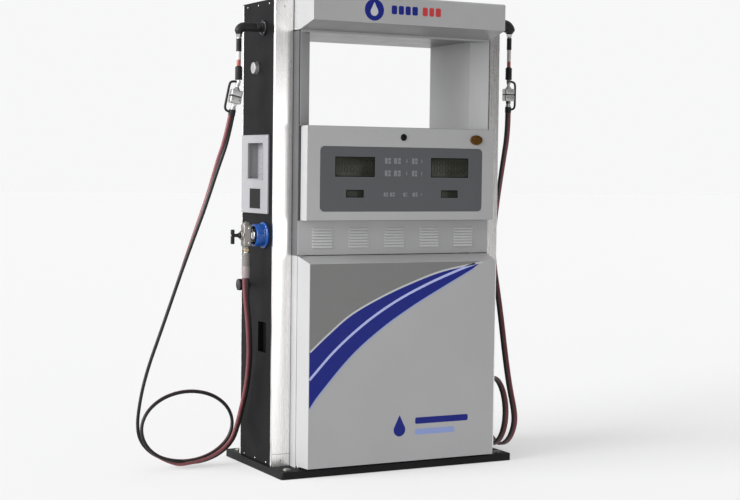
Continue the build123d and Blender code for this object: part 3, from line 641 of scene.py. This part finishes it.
TURN = math.radians(78)
LEFT_ROUTE = [
    (-.72727, -.062, 1.5711), (-.74931, -.062, 1.46742), (-.783, -.058, 1.372), (-.833, -.048, 1.204),
    (-.882, -.035, 1.06), (-.927, -.01, .911), (-.972, .03, .74), (-1.012, .07, .586),
    (-1.043, .106, .464), (-1.066, .14, .33),
] + loop((-.848, .165, .183), (1, 0, 0), (0, -.048, 0), .228, .165) + [
    (-.613, .064, .263), (-.604, .032, .357), (-.608, -.008, .48), (-.624, -.042, .59),
    (-.644, -.068, .7), (-.66, -.08, .79), (-.66, -.08, .862),
]
RIGHT_ROUTE = [
    (.76, .03, 1.628), (.76, .03, 1.53), (.753, .058, 1.385), (.754, .098, 1.225),
    (.757, .137, 1.06), (.755, .133, .9), (.752, .08, .74), (.744, .03, .6),
    (.73, -.026, .46), (.706, -.108, .31),
] + loop((.715, -.02, .184), (math.cos(TURN), math.sin(TURN), 0),
         (-.048 * math.sin(TURN), .048 * math.cos(TURN), 0), .2, .165) + [
    (.691, .197, .33), (.684, .182, .47), (.673, .142, .6), (.663, .1, .7),
    (.66, .08, .79), (.66, .08, .862),
]


def line_of(route):
    """Even points read from the route's smooth spline."""
    curve = bpy.data.curves.new("route", "CURVE")
    curve.dimensions = "3D"
    spline = curve.splines.new("NURBS")
    spline.points.add(len(route) - 1)
    for point, place in zip(spline.points, route):
        point.co = (*place, 1)
    spline.order_u = 3
    spline.use_endpoint_u = True
    spline.resolution_u = 24
    holder = bpy.data.objects.new("route", curve)
    scene.collection.objects.link(holder)
    mesh = bpy.data.meshes.new_from_object(holder)
    points = [v.co.copy() for v in mesh.vertices]
    bpy.data.meshes.remove(mesh)
    bpy.data.objects.remove(holder)
    bpy.data.curves.remove(curve)
    even, run = [points[0]], 0.0
    for a, b in zip(points, points[1:]):
        step = (b - a).length
        while run + step >= SPACING and step > 1e-9:
            a = a + (b - a) * ((SPACING - run) / step)
            even.append(a.copy())
            run, step = 0.0, (b - a).length
        run += step
    if (even[-1] - points[-1]).length < SPACING / 2:
        even.pop()
    even.append(points[-1])
    return even


def ease(t):
    """A share from 0 to 1 that starts and ends gently."""
    t = max(0.0, min(1.0, t))
    return t * t * (3 - 2 * t)


def twin_hose(name, route, keys):
    """Two bonded hose lines side by side. keys are (share of the length, direction from
    the first line to the second), and the pair turns smoothly from one to the next."""
    line = line_of(route)
    length = sum((b - a).length for a, b in zip(line, line[1:]))
    piece = Piece(name, "hose_black", "hose_red")
    outline, r, gap, n = [], .0074, .0076, 9
    for sign in (-1, 1):
        for i in range(n + 1):
            a = math.radians(-152 + 304 * i / n)
            outline.append((sign * (gap + r * math.cos(a)), sign * r * math.sin(a),
                0 if sign < 0 else 1))
    rows, run = [], 0.0
    for i, p in enumerate(line):
        if i:
            run += (p - line[i - 1]).length
        t = (line[min(len(line) - 1, i + 1)] - line[max(0, i - 1)]).normalized()
        (s0, d0), (s1, d1) = keys[0], keys[-1]
        for a, b in zip(keys, keys[1:]):
            if a[0] * length <= run <= b[0] * length:
                (s0, d0), (s1, d1) = a, b
                break
        w = ease((run / length - s0) / (s1 - s0))
        d0, d1 = ((Vector(d) - t * Vector(d).dot(t)).normalized() for d in (d0, d1))
        pair = (d0 * (1 - w) + d1 * w)
        pair = (pair - t * pair.dot(t)).normalized()
        flat = t.cross(pair)
        rows.append([piece.bm.verts.new(p + pair * x + flat * y) for x, y, _ in outline])
    m = len(outline)
    for a, b in zip(rows, rows[1:]):
        for k in range(m):
            f = piece.bm.faces.new((a[k], a[(k + 1) % m], b[(k + 1) % m], b[k]))
            f.material_index = 0 if k < m // 2 else 1
    piece.bm.faces.new(rows[0])
    piece.bm.faces.new(rows[-1])
    bmesh.ops.recalc_face_normals(piece.bm, faces=piece.bm.faces[:])
    hose = piece.done("cabinet", "hose_" + name.split("_")[-1], slot="hose_rubber", angle=60)
    hose.parent = None
    hose.matrix_world = Matrix.Identity(4)
    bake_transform(hose)
    tuple(line[0])
    [tuple(p) for p in line]
    return hose


AWAY, EDGE = (.357, .934, 0), (-.92, -.36, 0)
twin_hose("twin_hose_left", LEFT_ROUTE, [(0.0, (-.978, 0, .208)), (.1, (-.2, .9, 0)), (.2, AWAY),
    (.66, AWAY), (.8, EDGE), (.97, EDGE), (1.0, (-.98, .2, 0))])
twin_hose("twin_hose_right", RIGHT_ROUTE, [(0.0, (1, 0, 0)), (.12, (.9, .4, 0)),
    (.3, (.978, -.208, 0)), (.86, (.978, -.208, 0)), (1.0, (.98, -.2, 0))])

# ---- printed graphics ----

DOOR_FACE, HEADER_FACE, COVER_FACE, VENT_FACE = -.338, -.372, -.305, -.241


def front(y):
    """Places an (x, z) outline on a plane facing -Y, with its depth towards -Y."""
    return Matrix.Translation((0, y, 0)) @ Matrix.Rotation(math.pi / 2, 4, "X")


def smooth(*points):
    """A smooth curve through the points of an outline."""
    p = [Vector(q) for q in points]
    return through([p[0] * 2 - p[1]] + p + [p[-1] * 2 - p[-2]], 10)


def band(piece, upper, lower, matrix, depth, material):
    """A thin printed band between two curves with the same number of points."""
    bm = bmesh.new()
    rows = [[[bm.verts.new((q[0], q[1], z)) for q in line] for line in (upper, lower)]
        for z in (0.0, depth)]
    (lu, ll), (hu, hl) = rows
    for i in range(len(upper) - 1):
        bm.faces.new((hu[i], hl[i], hl[i + 1], hu[i + 1]))
        bm.faces.new((lu[i], lu[i + 1], ll[i + 1], ll[i]))
        bm.faces.new((hu[i], hu[i + 1], lu[i + 1], lu[i]))
        bm.faces.new((hl[i], ll[i], ll[i + 1], hl[i + 1]))
    for k in (0, -1):
        bm.faces.new((hu[k], lu[k], ll[k], hl[k]))
    bmesh.ops.remove_doubles(bm, verts=bm.verts[:], dist=.000001)
    bmesh.ops.recalc_face_normals(bm, faces=bm.faces[:])
    piece.take(bm, material, matrix)


def shifted(line, d):
    """The curve moved sideways by d, to its right going along it."""
    out = []
    for i, p in enumerate(line):
        t = (line[min(len(line) - 1, i + 1)] - line[max(0, i - 1)]).normalized()
        out.append(p + Vector((t.y, -t.x)) * d)
    return out


def drop_mark(cx, cz, h):
    """A plain drop standing h tall."""
    r, points = h * .31, [(cx, cz + h * .56)]
    for i in range(25):
        a = math.radians(28 - 236 * i / 24)
        points.append((cx + r * math.cos(a), cz - h * .13 + r * math.sin(a)))
    return points


OVER = smooth((-.4685, .556), (-.379, .632), (-.268, .715), (-.118, .789), (.036, .849), (.193, .898),
    (.398, .9335))
MIDDLE = smooth((-.4685, .432), (-.341, .56), (-.192, .676), (-.041, .766), (.115, .837), (.273, .896),
    (.362, .924))
UNDER = smooth((-.4685, .306), (-.413, .376), (-.266, .53), (-.116, .646), (.038, .74), (.194, .822),
    (.352, .902))

art = Piece("door_graphic_front", "vinyl_blue")
face = front(DOOR_FACE)
for upper, lower, depth, look in (([Vector((p.x, .9345)) for p in OVER], OVER, .00012, "grey"),
        (OVER, UNDER, .00014, "blue"), (OVER, shifted(OVER, .008), .00022, "line"),
        (shifted(MIDDLE, -.005), shifted(MIDDLE, .006), .00022, "pale"),
        (UNDER, shifted(UNDER, .005), .0002, "edge")):
    band(art, upper, lower, face, depth, "vinyl_" + look)
art.prism(drop_mark(-.02, .198, .096), .00015, "vinyl_blue", face)
art.prism(rounded(.06, .335, .207, .236, .008), .00015, "vinyl_blue", face)
art.prism(rounded(.06, .265, .158, .184, .008), .00015, "vinyl_edge", face)
twin(art.done("door_front_swings"), "front", "rear", "door_rear_swings")

badge = Piece("header_badge_front", "vinyl_blue")
face = front(HEADER_FACE)
badge.prism(disc(-.19, 2.038, .047), .00004, "vinyl_blue", face)
badge.prism(drop_mark(-.19, 2.038, .06), .00008, "vinyl_line", face)
for x0, x1, look in ((-.105, -.078, "blue"), (-.07, -.044, "blue"), (-.036, -.01, "blue"),
        (-.002, .026, "blue"), (.05, .076, "red"), (.084, .108, "red"), (.116, .143, "red")):
    badge.prism(rounded(x0, x1, 2.024, 2.062, .007), .00004, "vinyl_" + look, face)
twin(badge.done("cabinet"), "front", "rear", "cabinet")

icons = Piece("overlay_marks_front", "label_white")
face = front(COVER_FACE)


def mark(x0, x1, z0, z1, r=.003):
    """One plain bar of the printed signs beside the displays."""
    icons.prism(rounded(x0, x1, z0, z1, r), .0001, "label_white", face)


for z, marks, h in ((1.385, ((-.078, .03), (-.03, .034), (.058, .028)), .026),
        (1.33, ((-.078, .03), (-.03, .034), (.058, .026)), .026),
        (1.236, ((-.086, .022), (-.054, .024), (.012, .02), (.062, .026)), .018)):
    for x, w in marks:
        mark(x - w / 2, x - w * .06, z - h / 2, z + h / 2)
        mark(x + w * .06, x + w / 2, z - h / 2, z - h * .06)
        mark(x + w * .06, x + w / 2, z + h * .06, z + h / 2)
    for x in (.018, .094):
        mark(x - .002, x + .002, z - h * .3, z + h * .3, .0015)
twin(icons.done("cover_front"), "front", "rear", "cover_rear")

# ---- displays, vents, seams ----

SEGMENTS = ((0, 1), (0, 0), (0, -1), (-1, .5), (1, .5), (-1, -.5), (1, -.5))
glass = Piece("lcd_glass_front", "display_glass", "black_gloss")
for s in (-1, 1):
    for cz, w, h, digits, dh in ((1.357, .196, .088, 6, .046), (1.239, .088, .034, 5, .019)):
        cx = s * .24
        glass.box((cx - w / 2 - .004, -.303, cz - h / 2 - .004),
            (cx + w / 2 + .004, -.2905, cz + h / 2 + .004), "display_glass", r=.0004)
        rim = .0035
        for x0, x1, z0, z1 in ((-w / 2, w / 2, h / 2 - rim, h / 2),
                (-w / 2, w / 2, -h / 2, rim - h / 2), (-w / 2, rim - w / 2, rim - h / 2, h / 2 - rim),
                (w / 2 - rim, w / 2, rim - h / 2, h / 2 - rim)):
            glass.box((cx + x0, -.3038, cz + z0), (cx + x1, -.3029, cz + z1), "black_gloss", r=.0002)
        step = (w - .022) / digits
        for k in range(digits):
            mx = cx - w / 2 + .011 + step * (k + .5)
            dw = step * .54
            for px, pz in SEGMENTS:
                t = dh * .055
                if px == 0:
                    lo, hi = (mx - dw / 2 + t, pz * dh / 2 - t), (mx + dw / 2 - t, pz * dh / 2 + t)
                else:
                    lo = (mx + px * dw / 2 - t, min(0, pz * dh) + t)
                    hi = (mx + px * dw / 2 + t, max(0, pz * dh) - t)
                glass.box((lo[0], -.30306, cz + lo[1]), (hi[0], -.3028, cz + hi[1]), "segment", r=0)
glass.lathe((0, -.288, 1.49), (0, -1, 0), [(0, .0127), (.0165, .0127), (.0168, .0152),
    (.019, .0154), (.0204, .0144), (.0204, .0122), (.0192, .0116), (.0192, .01),
    (.0204, .0085), (.0209, .0045), (.021, 0)], "black_gloss", n=48)
twin(glass.done("cover_front", "display_lcds_front", slot="display_glass"), "front", "rear",
    "cover_rear")

# The hoods carry the brightened paint, which is painted light.
hoods = Piece("louvre_hoods_front", "hood_paint")
HOOD = [(0, .0048), (.0016, .004), (.0036, .001), (.0044, -.0048), (.004, -.0054), (.0032, -.005),
    (.0022, .001), (0, .003)]
HOOD_WIDTH = .093
ALONG_X = Matrix(((0, 0, 1, 0), (-1, 0, 0, 0), (0, 1, 0, 0), (0, 0, 0, 1)))
for x in (-.006 + .18 * k for k in range(-2, 3)):
    for z in (1.043 + .013 * i for i in range(-3, 4)):
        place = Matrix.Translation((x - HOOD_WIDTH / 2, VENT_FACE, z)) @ ALONG_X
        hoods.prism(HOOD, HOOD_WIDTH, "hood_paint", place)
        for e in (-HOOD_WIDTH / 2, HOOD_WIDTH / 2):
            hoods.lathe((x + e, VENT_FACE + .0002, z + .0006), (0, -1, 0),
                        [(0, .0042), (.002, .0036), (.0032, .0018), (.0034, 0)], "hood_paint", n=16)
twin(hoods.done("cabinet"), "front", "rear", "cabinet")

trim = Piece("post_seams_and_screws", "gasket")
for sx in (-1, 1):
    for sy in (-1, 1):
        x0, x1 = sorted((sx * .4875, sx * .5725))
        y0, y1 = sorted((sy * .1808, sy * .18112))
        trim.box((x0, y0, .0872), (x1, y1, .0886), "gasket", r=0)
        for z in (.06, 2.05):
            trim.screw((sx * .531, sy * .181, z), (0, sy, 0), .0042)
        bolt_x, bolt_y = sx * .54, sy * .27
        trim.hexagon((bolt_x, bolt_y, .0352), UP, .0148, .005, "zinc_plate")
        trim.lathe((bolt_x, bolt_y, .033), UP, [(0, .0185), (.0022, .0185)], "zinc_plate", n=32)
        trim.lathe((bolt_x, bolt_y, .0398), UP, [(0, .008), (.0008, .0078), (.0014, .0062)],
            "zinc_plate", n=24)
    for x in (.15, .42):
        for sy in (-1, 1):
            trim.screw((sx * x, sy * .16, 2.083), UP, .0045)
            trim.screw((sx * x, sy * .205, 2.1), UP, .004, height=.00002)
trim.done("cabinet")

# ---- sides: cup, nozzle, lever, boot, card holder ----

OUT, NOZZLE_Z = (-1, 0, 0), 1.05


def on_axis(x):
    """A point of the left nozzle's axis."""
    return (x, -.08, NOZZLE_Z)


cup = Piece("parking_cup_left", "blue_plastic", "black_plastic", "plated_steel")
cup.lathe(on_axis(-.575), OUT, [(0, .058), (.0055, .058), (.0078, .056), (.0085, .053), (.01, .0512),
    (.018, .0506), (.019, .0494), (.021, .0494), (.022, .0506), (.045, .05), (.05, .0485),
    (.052, .0452), (.052, .042), (.05, .0398), (.048, .0394), (.048, .0386, "black_plastic"),
    (.008, .038, "black_plastic"), (.008, .015, "black_plastic")], "blue_plastic", n=72)
cup.screws(on_axis(-.5828), .0548, OUT, .0026)
cup.lathe(on_axis(-.581), OUT, [(0, .018), (.004, .018), (.004, .0118), (.022, .0118), (.023, .0104),
    (.025, .0104), (.026, .0118), (.03, .0116), (.031, .009)], n=40)
twin(cup.done("cabinet", "nozzle_cup_left", slot="blue_plastic"), "left", "right", "cabinet")

gun = Piece("nozzle_body_left", "nozzle_cast", "plated_steel")
gun.lathe(on_axis(-.588), OUT, [(0, .0225), (.001, .0262), (.003, .0278), (.006, .028)]
          + ribs(5, .008, .0068, (.028, .0266, .0266, .028), (0, .0008, .0016, .0024))
          + [(.044, .028), (.0455, .0262), (.052, .025)], "machined", n=56)
gun.lathe(on_axis(-.588), OUT, [(-.0004, .0224), (-.0002, .014)], "gasket", n=40)
gun.lathe(on_axis(-.634), OUT, [(0, .0235), (.0015, .0252), (.0085, .0252), (.01, .0235)], sides=6,
    side=UP)
gun.box((-.6785, -.1015, 1.0), (-.6405, -.0585, 1.1), "nozzle_cast", r=.0105, seg=5)
gun.lathe((-.66, -.08, 1.088), UP, [(0, .0205), (.01, .0195), (.018, .015), (.0225, .0075),
    (.024, 0)], "nozzle_cast", n=40)
gun.lathe((-.66, -.08, 1.012), DOWN, [(0, .02), (.008, .0186), (.013, .0165), (.022, .016)],
    "nozzle_cast", n=40)
gun.lathe(on_axis(-.676), OUT, [(0, .0215), (.0045, .0215), (.006, .02), (.011, .0196), (.0122, .018)],
          "nozzle_cast", n=48)
gun.lathe(on_axis(-.6875), OUT, [(0, .0105), (.002, .0105), (.002, .006), (.0155, .006)], n=32)
gun.screws(on_axis(-.6868), .015, OUT, .0024)
for z in (1.018, 1.082):
    gun.lathe((-.659, -.101, z), (0, -1, 0), [(-.003, .0062), (.0022, .006), (.003, .0048)],
        "nozzle_cast", n=28)
    gun.hexagon((-.659, -.1035, z), (0, -1, 0), .0042, .0018)
gun.lathe((-.659, -.059, NOZZLE_Z), (0, 1, 0), [(-.002, .01), (.0018, .0098), (.003, .008)],
    n=28)
twin(gun.done("nozzle_left_slides", "nozzle_left", slot="plated_steel"), "left", "right",
    "nozzle_right_slides")

lever = Piece("turn_lever_left", "black_plastic", "plated_steel")
lever.lathe(on_axis(-.6886), OUT, [(0, .0118), (.0012, .0126), (.006, .0124), (.0085, .0095),
    (.015, .0078), (.029, .007)], "black_plastic", n=40)
lever.box((-.7318, -.088, NOZZLE_Z - .038), (-.7165, -.072, NOZZLE_Z + .026), "black_plastic", r=.0052,
    seg=4)
for k in range(5):
    z = NOZZLE_Z - .033 + k * .0042
    lever.box((-.73205, -.0862, z), (-.73, -.0738, z + .0016), "black_plastic", r=.0006, seg=1)
lever.screw(on_axis(-.7314), OUT, .0042)
twin(lever.done("nozzle_lever_left_turns", "nozzle_lever_left", slot="black_plastic"), "left", "right",
     "nozzle_lever_right_turns")

boot = Piece("hose_sleeve_left", "sleeve_grey", "sleeve_mauve", "brass")
BOOT_TOP = (-.66, -.08, .99)
boot.lathe(BOOT_TOP, DOWN, [(0, .013), (.001, .014), (.0105, .014), (.012, .013)], "brass", sides=6,
    side=(1, 0, 0))
boot.lathe(BOOT_TOP, DOWN, [(.0115, .0118), (.018, .0118)], n=32)
boot.lathe(BOOT_TOP, DOWN, [(.0175, .015), (.0195, .0186), (.022, .019)]
    + ribs(6, .026, .0075, (.0188, .0176, .0176, .0187), (0, .0012, .0028, .004))
    + [(.074, .018), (.076, .0176), (.078, .0182, "sleeve_mauve"), (.082, .0188, "sleeve_mauve"),
    (.12, .0178, "sleeve_mauve"), (.1265, .0172, "sleeve_mauve"), (.128, .016, "sleeve_mauve")],
    "sleeve_grey", n=44)
twin(boot.done("nozzle_left_slides", "hose_boot_left", slot="pale_plastic"), "left", "right",
    "nozzle_right_slides")

fit = Piece("side_fittings_left", "plated_steel")
for y in (-.124, .15):
    for z in (1.156, 1.482):
        fit.screw((-.583, y, z), OUT, .0036)
fit.box((-.58425, -.0525, 1.1665), (-.5829, .0605, 1.1685), "gasket", r=0)
fit.box((-.58425, -.0525, 1.2525), (-.5829, .0605, 1.2545), "gasket", r=0)
for y0, y1 in ((-.054, -.0515), (.0595, .062)):
    fit.box((-.58425, y0, 1.1665), (-.5829, y1, 1.2545), "gasket", r=0)
for y0, y1 in ((-.081, -.077), (.087, .091)):
    fit.box((-.5842, y0, 1.294), (-.572, y1, 1.457), "pale_plastic", r=.0008)
fit.box((-.5842, -.081, 1.294), (-.572, .091, 1.2985), "pale_plastic", r=.0008)
for k in range(5):
    fit.box((-.5345, -.06, 1.318 + k * .024), (-.533, .07, 1.321 + k * .024), "pocket_plastic", r=.0006,
        seg=1)
fit.lathe((-.5752, .09, .82), OUT, [(0, .0155), (.0016, .0155), (.0022, .014), (.0022, .0065)],
    "black_plastic", n=36)
fit.lathe((-.5752, .016, 1.79), OUT, [(-.0001, .03), (.0002, .0296)], "gasket", n=48)
for sz in (.045, 2.065):
    for y in (-.12, 0, .12):
        fit.screw((-.575, y, sz), OUT, .004)
twin(fit.done("cabinet"), "left", "right", "cabinet")
index = Piece("knob_index_left", "label_white")
index.box((-.6256, .088, .822), (-.6248, .092, .842), "label_white", r=.0002, seg=1)
twin(index.done("shutoff_knob_left_turns"), "left", "right", "shutoff_knob_right_turns")

# ---- outlets: elbow, whip and breakaway ----


def outlet(name, x, y, z, r, flange, drop, longer, lean, gap):
    """The fixed fittings from the side panel down to where the free hose starts: an elbow of
    radius r that turns down at x and ends a drop lower, a whip so much longer than the short
    one, and after the gap a breakaway leaning by so many degrees."""
    s = math.copysign(1, x)
    elbow = Piece("swivel_elbow_" + name, "black_plastic", "sleeve_black")
    out = (s, 0, 0)
    elbow.lathe((s * .575, y, z), out, [(0, flange), (.0065, flange), (.0085, flange - .0025),
        (.009, flange - .006), (.009, r + .002), (.015, r + .0018), (.0165, r)], "black_plastic", n=48)
    elbow.screws((s * .5836, y, z), flange - .0058, out, .003)
    bend, wall = r + .004, .58
    line = [Vector((s * (wall + (abs(x) - bend - wall) * i / 8), y, z)) for i in range(8)]
    for i in range(15):
        a = math.radians(90 * i / 14)
        line.append(Vector((x - s * bend + s * bend * math.sin(a), y, z - bend + bend * math.cos(a))))
    line.append(Vector((x, y, z - drop)))
    elbow.tube(line, lambda t: r if t < .86 else r - (r - .014) * ((t - .86) / .14) ** 1.6,
        "sleeve_black", n=32)
    for share in (.16, .24, .32):
        spot = s * (wall + (abs(x) - bend - wall) * share)
        elbow.lathe((spot, y, z), out, [(0, r + .0001), (.0012, r + .0016), (.004, r + .0016),
            (.0052, r + .0001)], "sleeve_black", n=36)
    elbow.done("cabinet", "outlet_elbow_" + name, slot="black_plastic")

    whip = Piece("whip_" + name, "plated_steel", "sleeve_black")
    at = (x, y, z - drop)
    whip.lathe(at, DOWN, [(0, .0122), (.001, .013), (.0125, .013), (.014, .012)],
        sides=6, side=(0, 1, 0))
    whip.lathe(at, DOWN, [(.0138, .01), (.02, .01)], "machined", n=32)
    whip.lathe(at, DOWN, [(.0198, .0098), (.0205, .0118), (.0225, .012)]
               + ribs(6, .0255, .0078, (.012, .0111, .0111, .012), (0, .001, .0026, .0036))
               + [(.0745, .012), (.076, .0108), (.076, .0092)], "sleeve_black", n=40)
    e = .112 + longer
    whip.lathe(at, DOWN, [(.075, .0094), (.0765, .0095), (e - .0005, .0095), (e, .0091)],
        "sleeve_white", n=36)
    whip.lathe(at, DOWN, [(e - .0002, .0089), (e + .001, .009), (e + .027, .009), (e + .028, .0088)],
               "sleeve_orange", n=36)
    whip.lathe(at, DOWN, [(e + .027, .0092), (e + .03, .0128), (e + .034, .0158), (e + .037, .016)]
               + ribs(5, e + .04, .0085, (.016, .0148, .0148, .016), (0, .0012, .0036, .0048))
               + [(e + .085, .016), (e + .0878, .015)], "sleeve_black", n=40)
    whip.done("cabinet", "hose_whip_" + name, slot="hose_rubber")

    joint = Piece("breakaway_body_" + name, "silver_cast", "plated_steel")
    # The breakaway's own frame: Z down along the hose, X away from the cabinet.
    a = math.radians(lean)
    w = Vector((-math.sin(a), 0, -math.cos(a)))
    u = Vector((-math.cos(a), 0, math.sin(a))) * (1 if x < 0 else -1)
    m = Matrix((u, w.cross(u), w)).transposed().to_4x4()
    m.translation = (x, y, z - drop - .2 - longer - gap)
    o, d = (0, 0, 0), UP
    joint.lathe(o, d, [(0, .01), (.001, .011), (.015, .011), (.0162, .01)], sides=6,
        matrix=m)
    joint.lathe(o, d, [(.0158, .0098), (.021, .0098), (.0225, .0075), (.03, .007), (.033, .0092),
        (.037, .012), (.044, .0165), (.047, .0172)], "silver_cast", n=36, matrix=m)
    joint.box((-.026, -.019, .043), (.026, .019, .071), "silver_cast", r=.0085, seg=4, matrix=m)
    joint.box((-.0245, -.0176, .069), (.0245, .0176, .0745), "gasket", r=.002, matrix=m)
    joint.box((-.026, -.019, .0725), (.026, .019, .1035), "silver_cast", r=.0085, seg=4, matrix=m)
    for q in (-.0165, .0165):
        for way in (-1, 1):
            joint.lathe((q, way * .0182, .087), (0, way, 0), [(0, .004), (.0006, .004), (.0008, .003)],
                n=20, matrix=m)
    joint.lathe(o, d, [(.103, .0118), (.1045, .013), (.116, .013), (.1175, .0118)],
        sides=6, matrix=m)
    joint.lathe(o, d, [(.117, .01), (.123, .01), (.124, .0128), (.132, .013)], "silver_cast", n=36,
        matrix=m)
    joint.lathe(o, d, [(.1315, .014), (.133, .0155), (.136, .0155), (.1375, .0146), (.1395, .0146),
        (.141, .0155), (.144, .0155), (.1455, .0146), (.1475, .0146), (.149, .0155), (.156, .015),
        (.16, .0138)], "sleeve_black", n=40, matrix=m)
    tips = [Vector((.006, 0, .006)), Vector((.03, 0, .013)), Vector((.0375, 0, .026)),
        Vector((.038, 0, .06)), Vector((.038, 0, .105)), Vector((.0372, 0, .126)),
        Vector((.03, 0, .139)), Vector((.009, 0, .1445))]
    path = [m @ q for q in through([tips[0], *tips, tips[-1]], 6)]
    joint.tube(path, .0053, "sleeve_black", n=16)
    joint.done("cabinet", "breakaway_" + name, slot="plated_steel")


outlet("left", -.694, -.062, 1.962, .02, .034, .032, 0, 12, .0024)
outlet("right", .76, .03, 2.048, .028, .031, .04, .02, 0, 0)

# ---- inside: fittings on the gas train ----

inner = Piece("pipe_fittings", "plated_steel", "brass")
for at, way in (((.09, -.06, .195), (1, 0, 0)), ((.3, -.06, .247), DOWN), ((.3, -.06, .541), UP),
        ((.11, -.06, .617), DOWN), ((-.11, .06, .617), DOWN), ((.11, -.06, .703), UP),
        ((-.11, .06, .703), UP), ((-.23, -.06, .783), UP), ((.23, .06, .783), UP),
        ((-.23, -.06, .597), DOWN), ((.23, .06, .597), DOWN)):
    inner.hexagon(at, way, .013, .016)
for s in (-1, 1):
    for z, way in ((.852, UP), (.788, DOWN)):
        inner.hexagon((s * .512, -s * .09, z), way, .015, .014, "brass")
    for dx in (-.047, .047):
        for z in (.623, .757):
            inner.screw((s * (-.23 + dx * .8), -s * .1052, z), (0, -s, 0), .004)
    for x in (-.255, -.085, .085, .255):
        for z in (1.146, 1.39):
            inner.screw((x, s * .135, z), (0, s, 0), .004)
    for x in (.085, .135):
        inner.lathe((s * x, -s * .15, .66), (0, -s, 0), [(0, .009), (.004, .009), (.0046, .0076)],
            sides=6)
for x in (-.18, -.09, 0, .09, .18):
    inner.hexagon((x, 0, 1.4448), UP, .0125, .009, "brass")
    inner.tube([(x, 0, 1.452), (x, 0, 1.47), (x * .9, .004, 1.486), (x * .8, .006, 1.4925)], .0045,
        "black_plastic", n=12)
inner.done("cabinet")

# ---- carried-over CAD nodes ----

FACES, ENDS = ("_front", "_rear"), ("_left", "_right")
WELD_GAP, FLAT_ANGLE, SHARP_ANGLE = .00002, .6, 35
LOOKS = (
    ("base_plate", ("",), "base_paint", .0015), ("inner_frame", ("",), "frame_coat", .0007),
    ("side_panel", ENDS, "black_paint", .001), ("roof_panel", ("",), "black_paint", .001),
    ("post_front", ENDS, "stainless", .0008), ("post_rear", ENDS, "stainless", .0008),
    # The header and window surround carry painted shade on their downward faces.
    ("header", FACES, "header_paint", .0022), ("window_surround", ("",), "window_paint", .0015),
    ("display_cover", FACES, "white_paint", .001), ("display_overlay", FACES, "overlay_film", .0003),
    ("display_board", FACES, "circuit_board", 0.0), ("cover_latch", FACES, "bronze", 0.0),
    ("vent_panel", FACES, "white_paint", .0006), ("door", FACES, "white_paint", .0024),
    ("door_lock", FACES, "plated_steel", .0004), ("hinges_and_strikes", ("",), "zinc_plate", .0004),
    ("inlet_manifold", ("",), "plated_steel", .0006), ("gas_filter", ("",), "silver_cast", .0008),
    ("solenoid_valves", ("",), "black_plastic", .0008), ("flow_meter", ENDS, "cast_body", .0008),
    ("gas_pipework", ("",), "machined", 0.0), ("computer_box", ("",), "cast_body", .0012),
    ("card_holder", ENDS, "pale_plastic", .0012), ("card_window", ENDS, "black_gloss", 0.0),
    ("side_lock", ENDS, "silver_cast", 0.0), ("shutoff_knob", ENDS, "black_plastic", .0008),
)


def dress(obj, look, roll):
    """The material of a CAD node, and a small roll along its sharp edges."""
    obj.data.materials.clear()
    obj.data.materials.append(MAT[look])
    weld = obj.modifiers.new("weld", "WELD")
    weld.merge_threshold = WELD_GAP
    if roll:
        flat = obj.modifiers.new("flat", "DECIMATE")
        flat.decimate_type = "DISSOLVE"
        flat.angle_limit = math.radians(FLAT_ANGLE)
        edge = obj.modifiers.new("edge", "BEVEL")
        edge.width = roll
        edge.segments = 2
        edge.limit_method = "ANGLE"
        edge.angle_limit = math.radians(SHARP_ANGLE)
        edge.harden_normals = True
        edge.use_clamp_overlap = True


for stem, suffixes, look, roll in LOOKS:
    for suffix in suffixes:
        dress(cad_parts[stem + suffix], look, roll)

lo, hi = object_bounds()
{"cad": [list(v) for v in cad_box], "visual": [list(lo), list(hi)]}
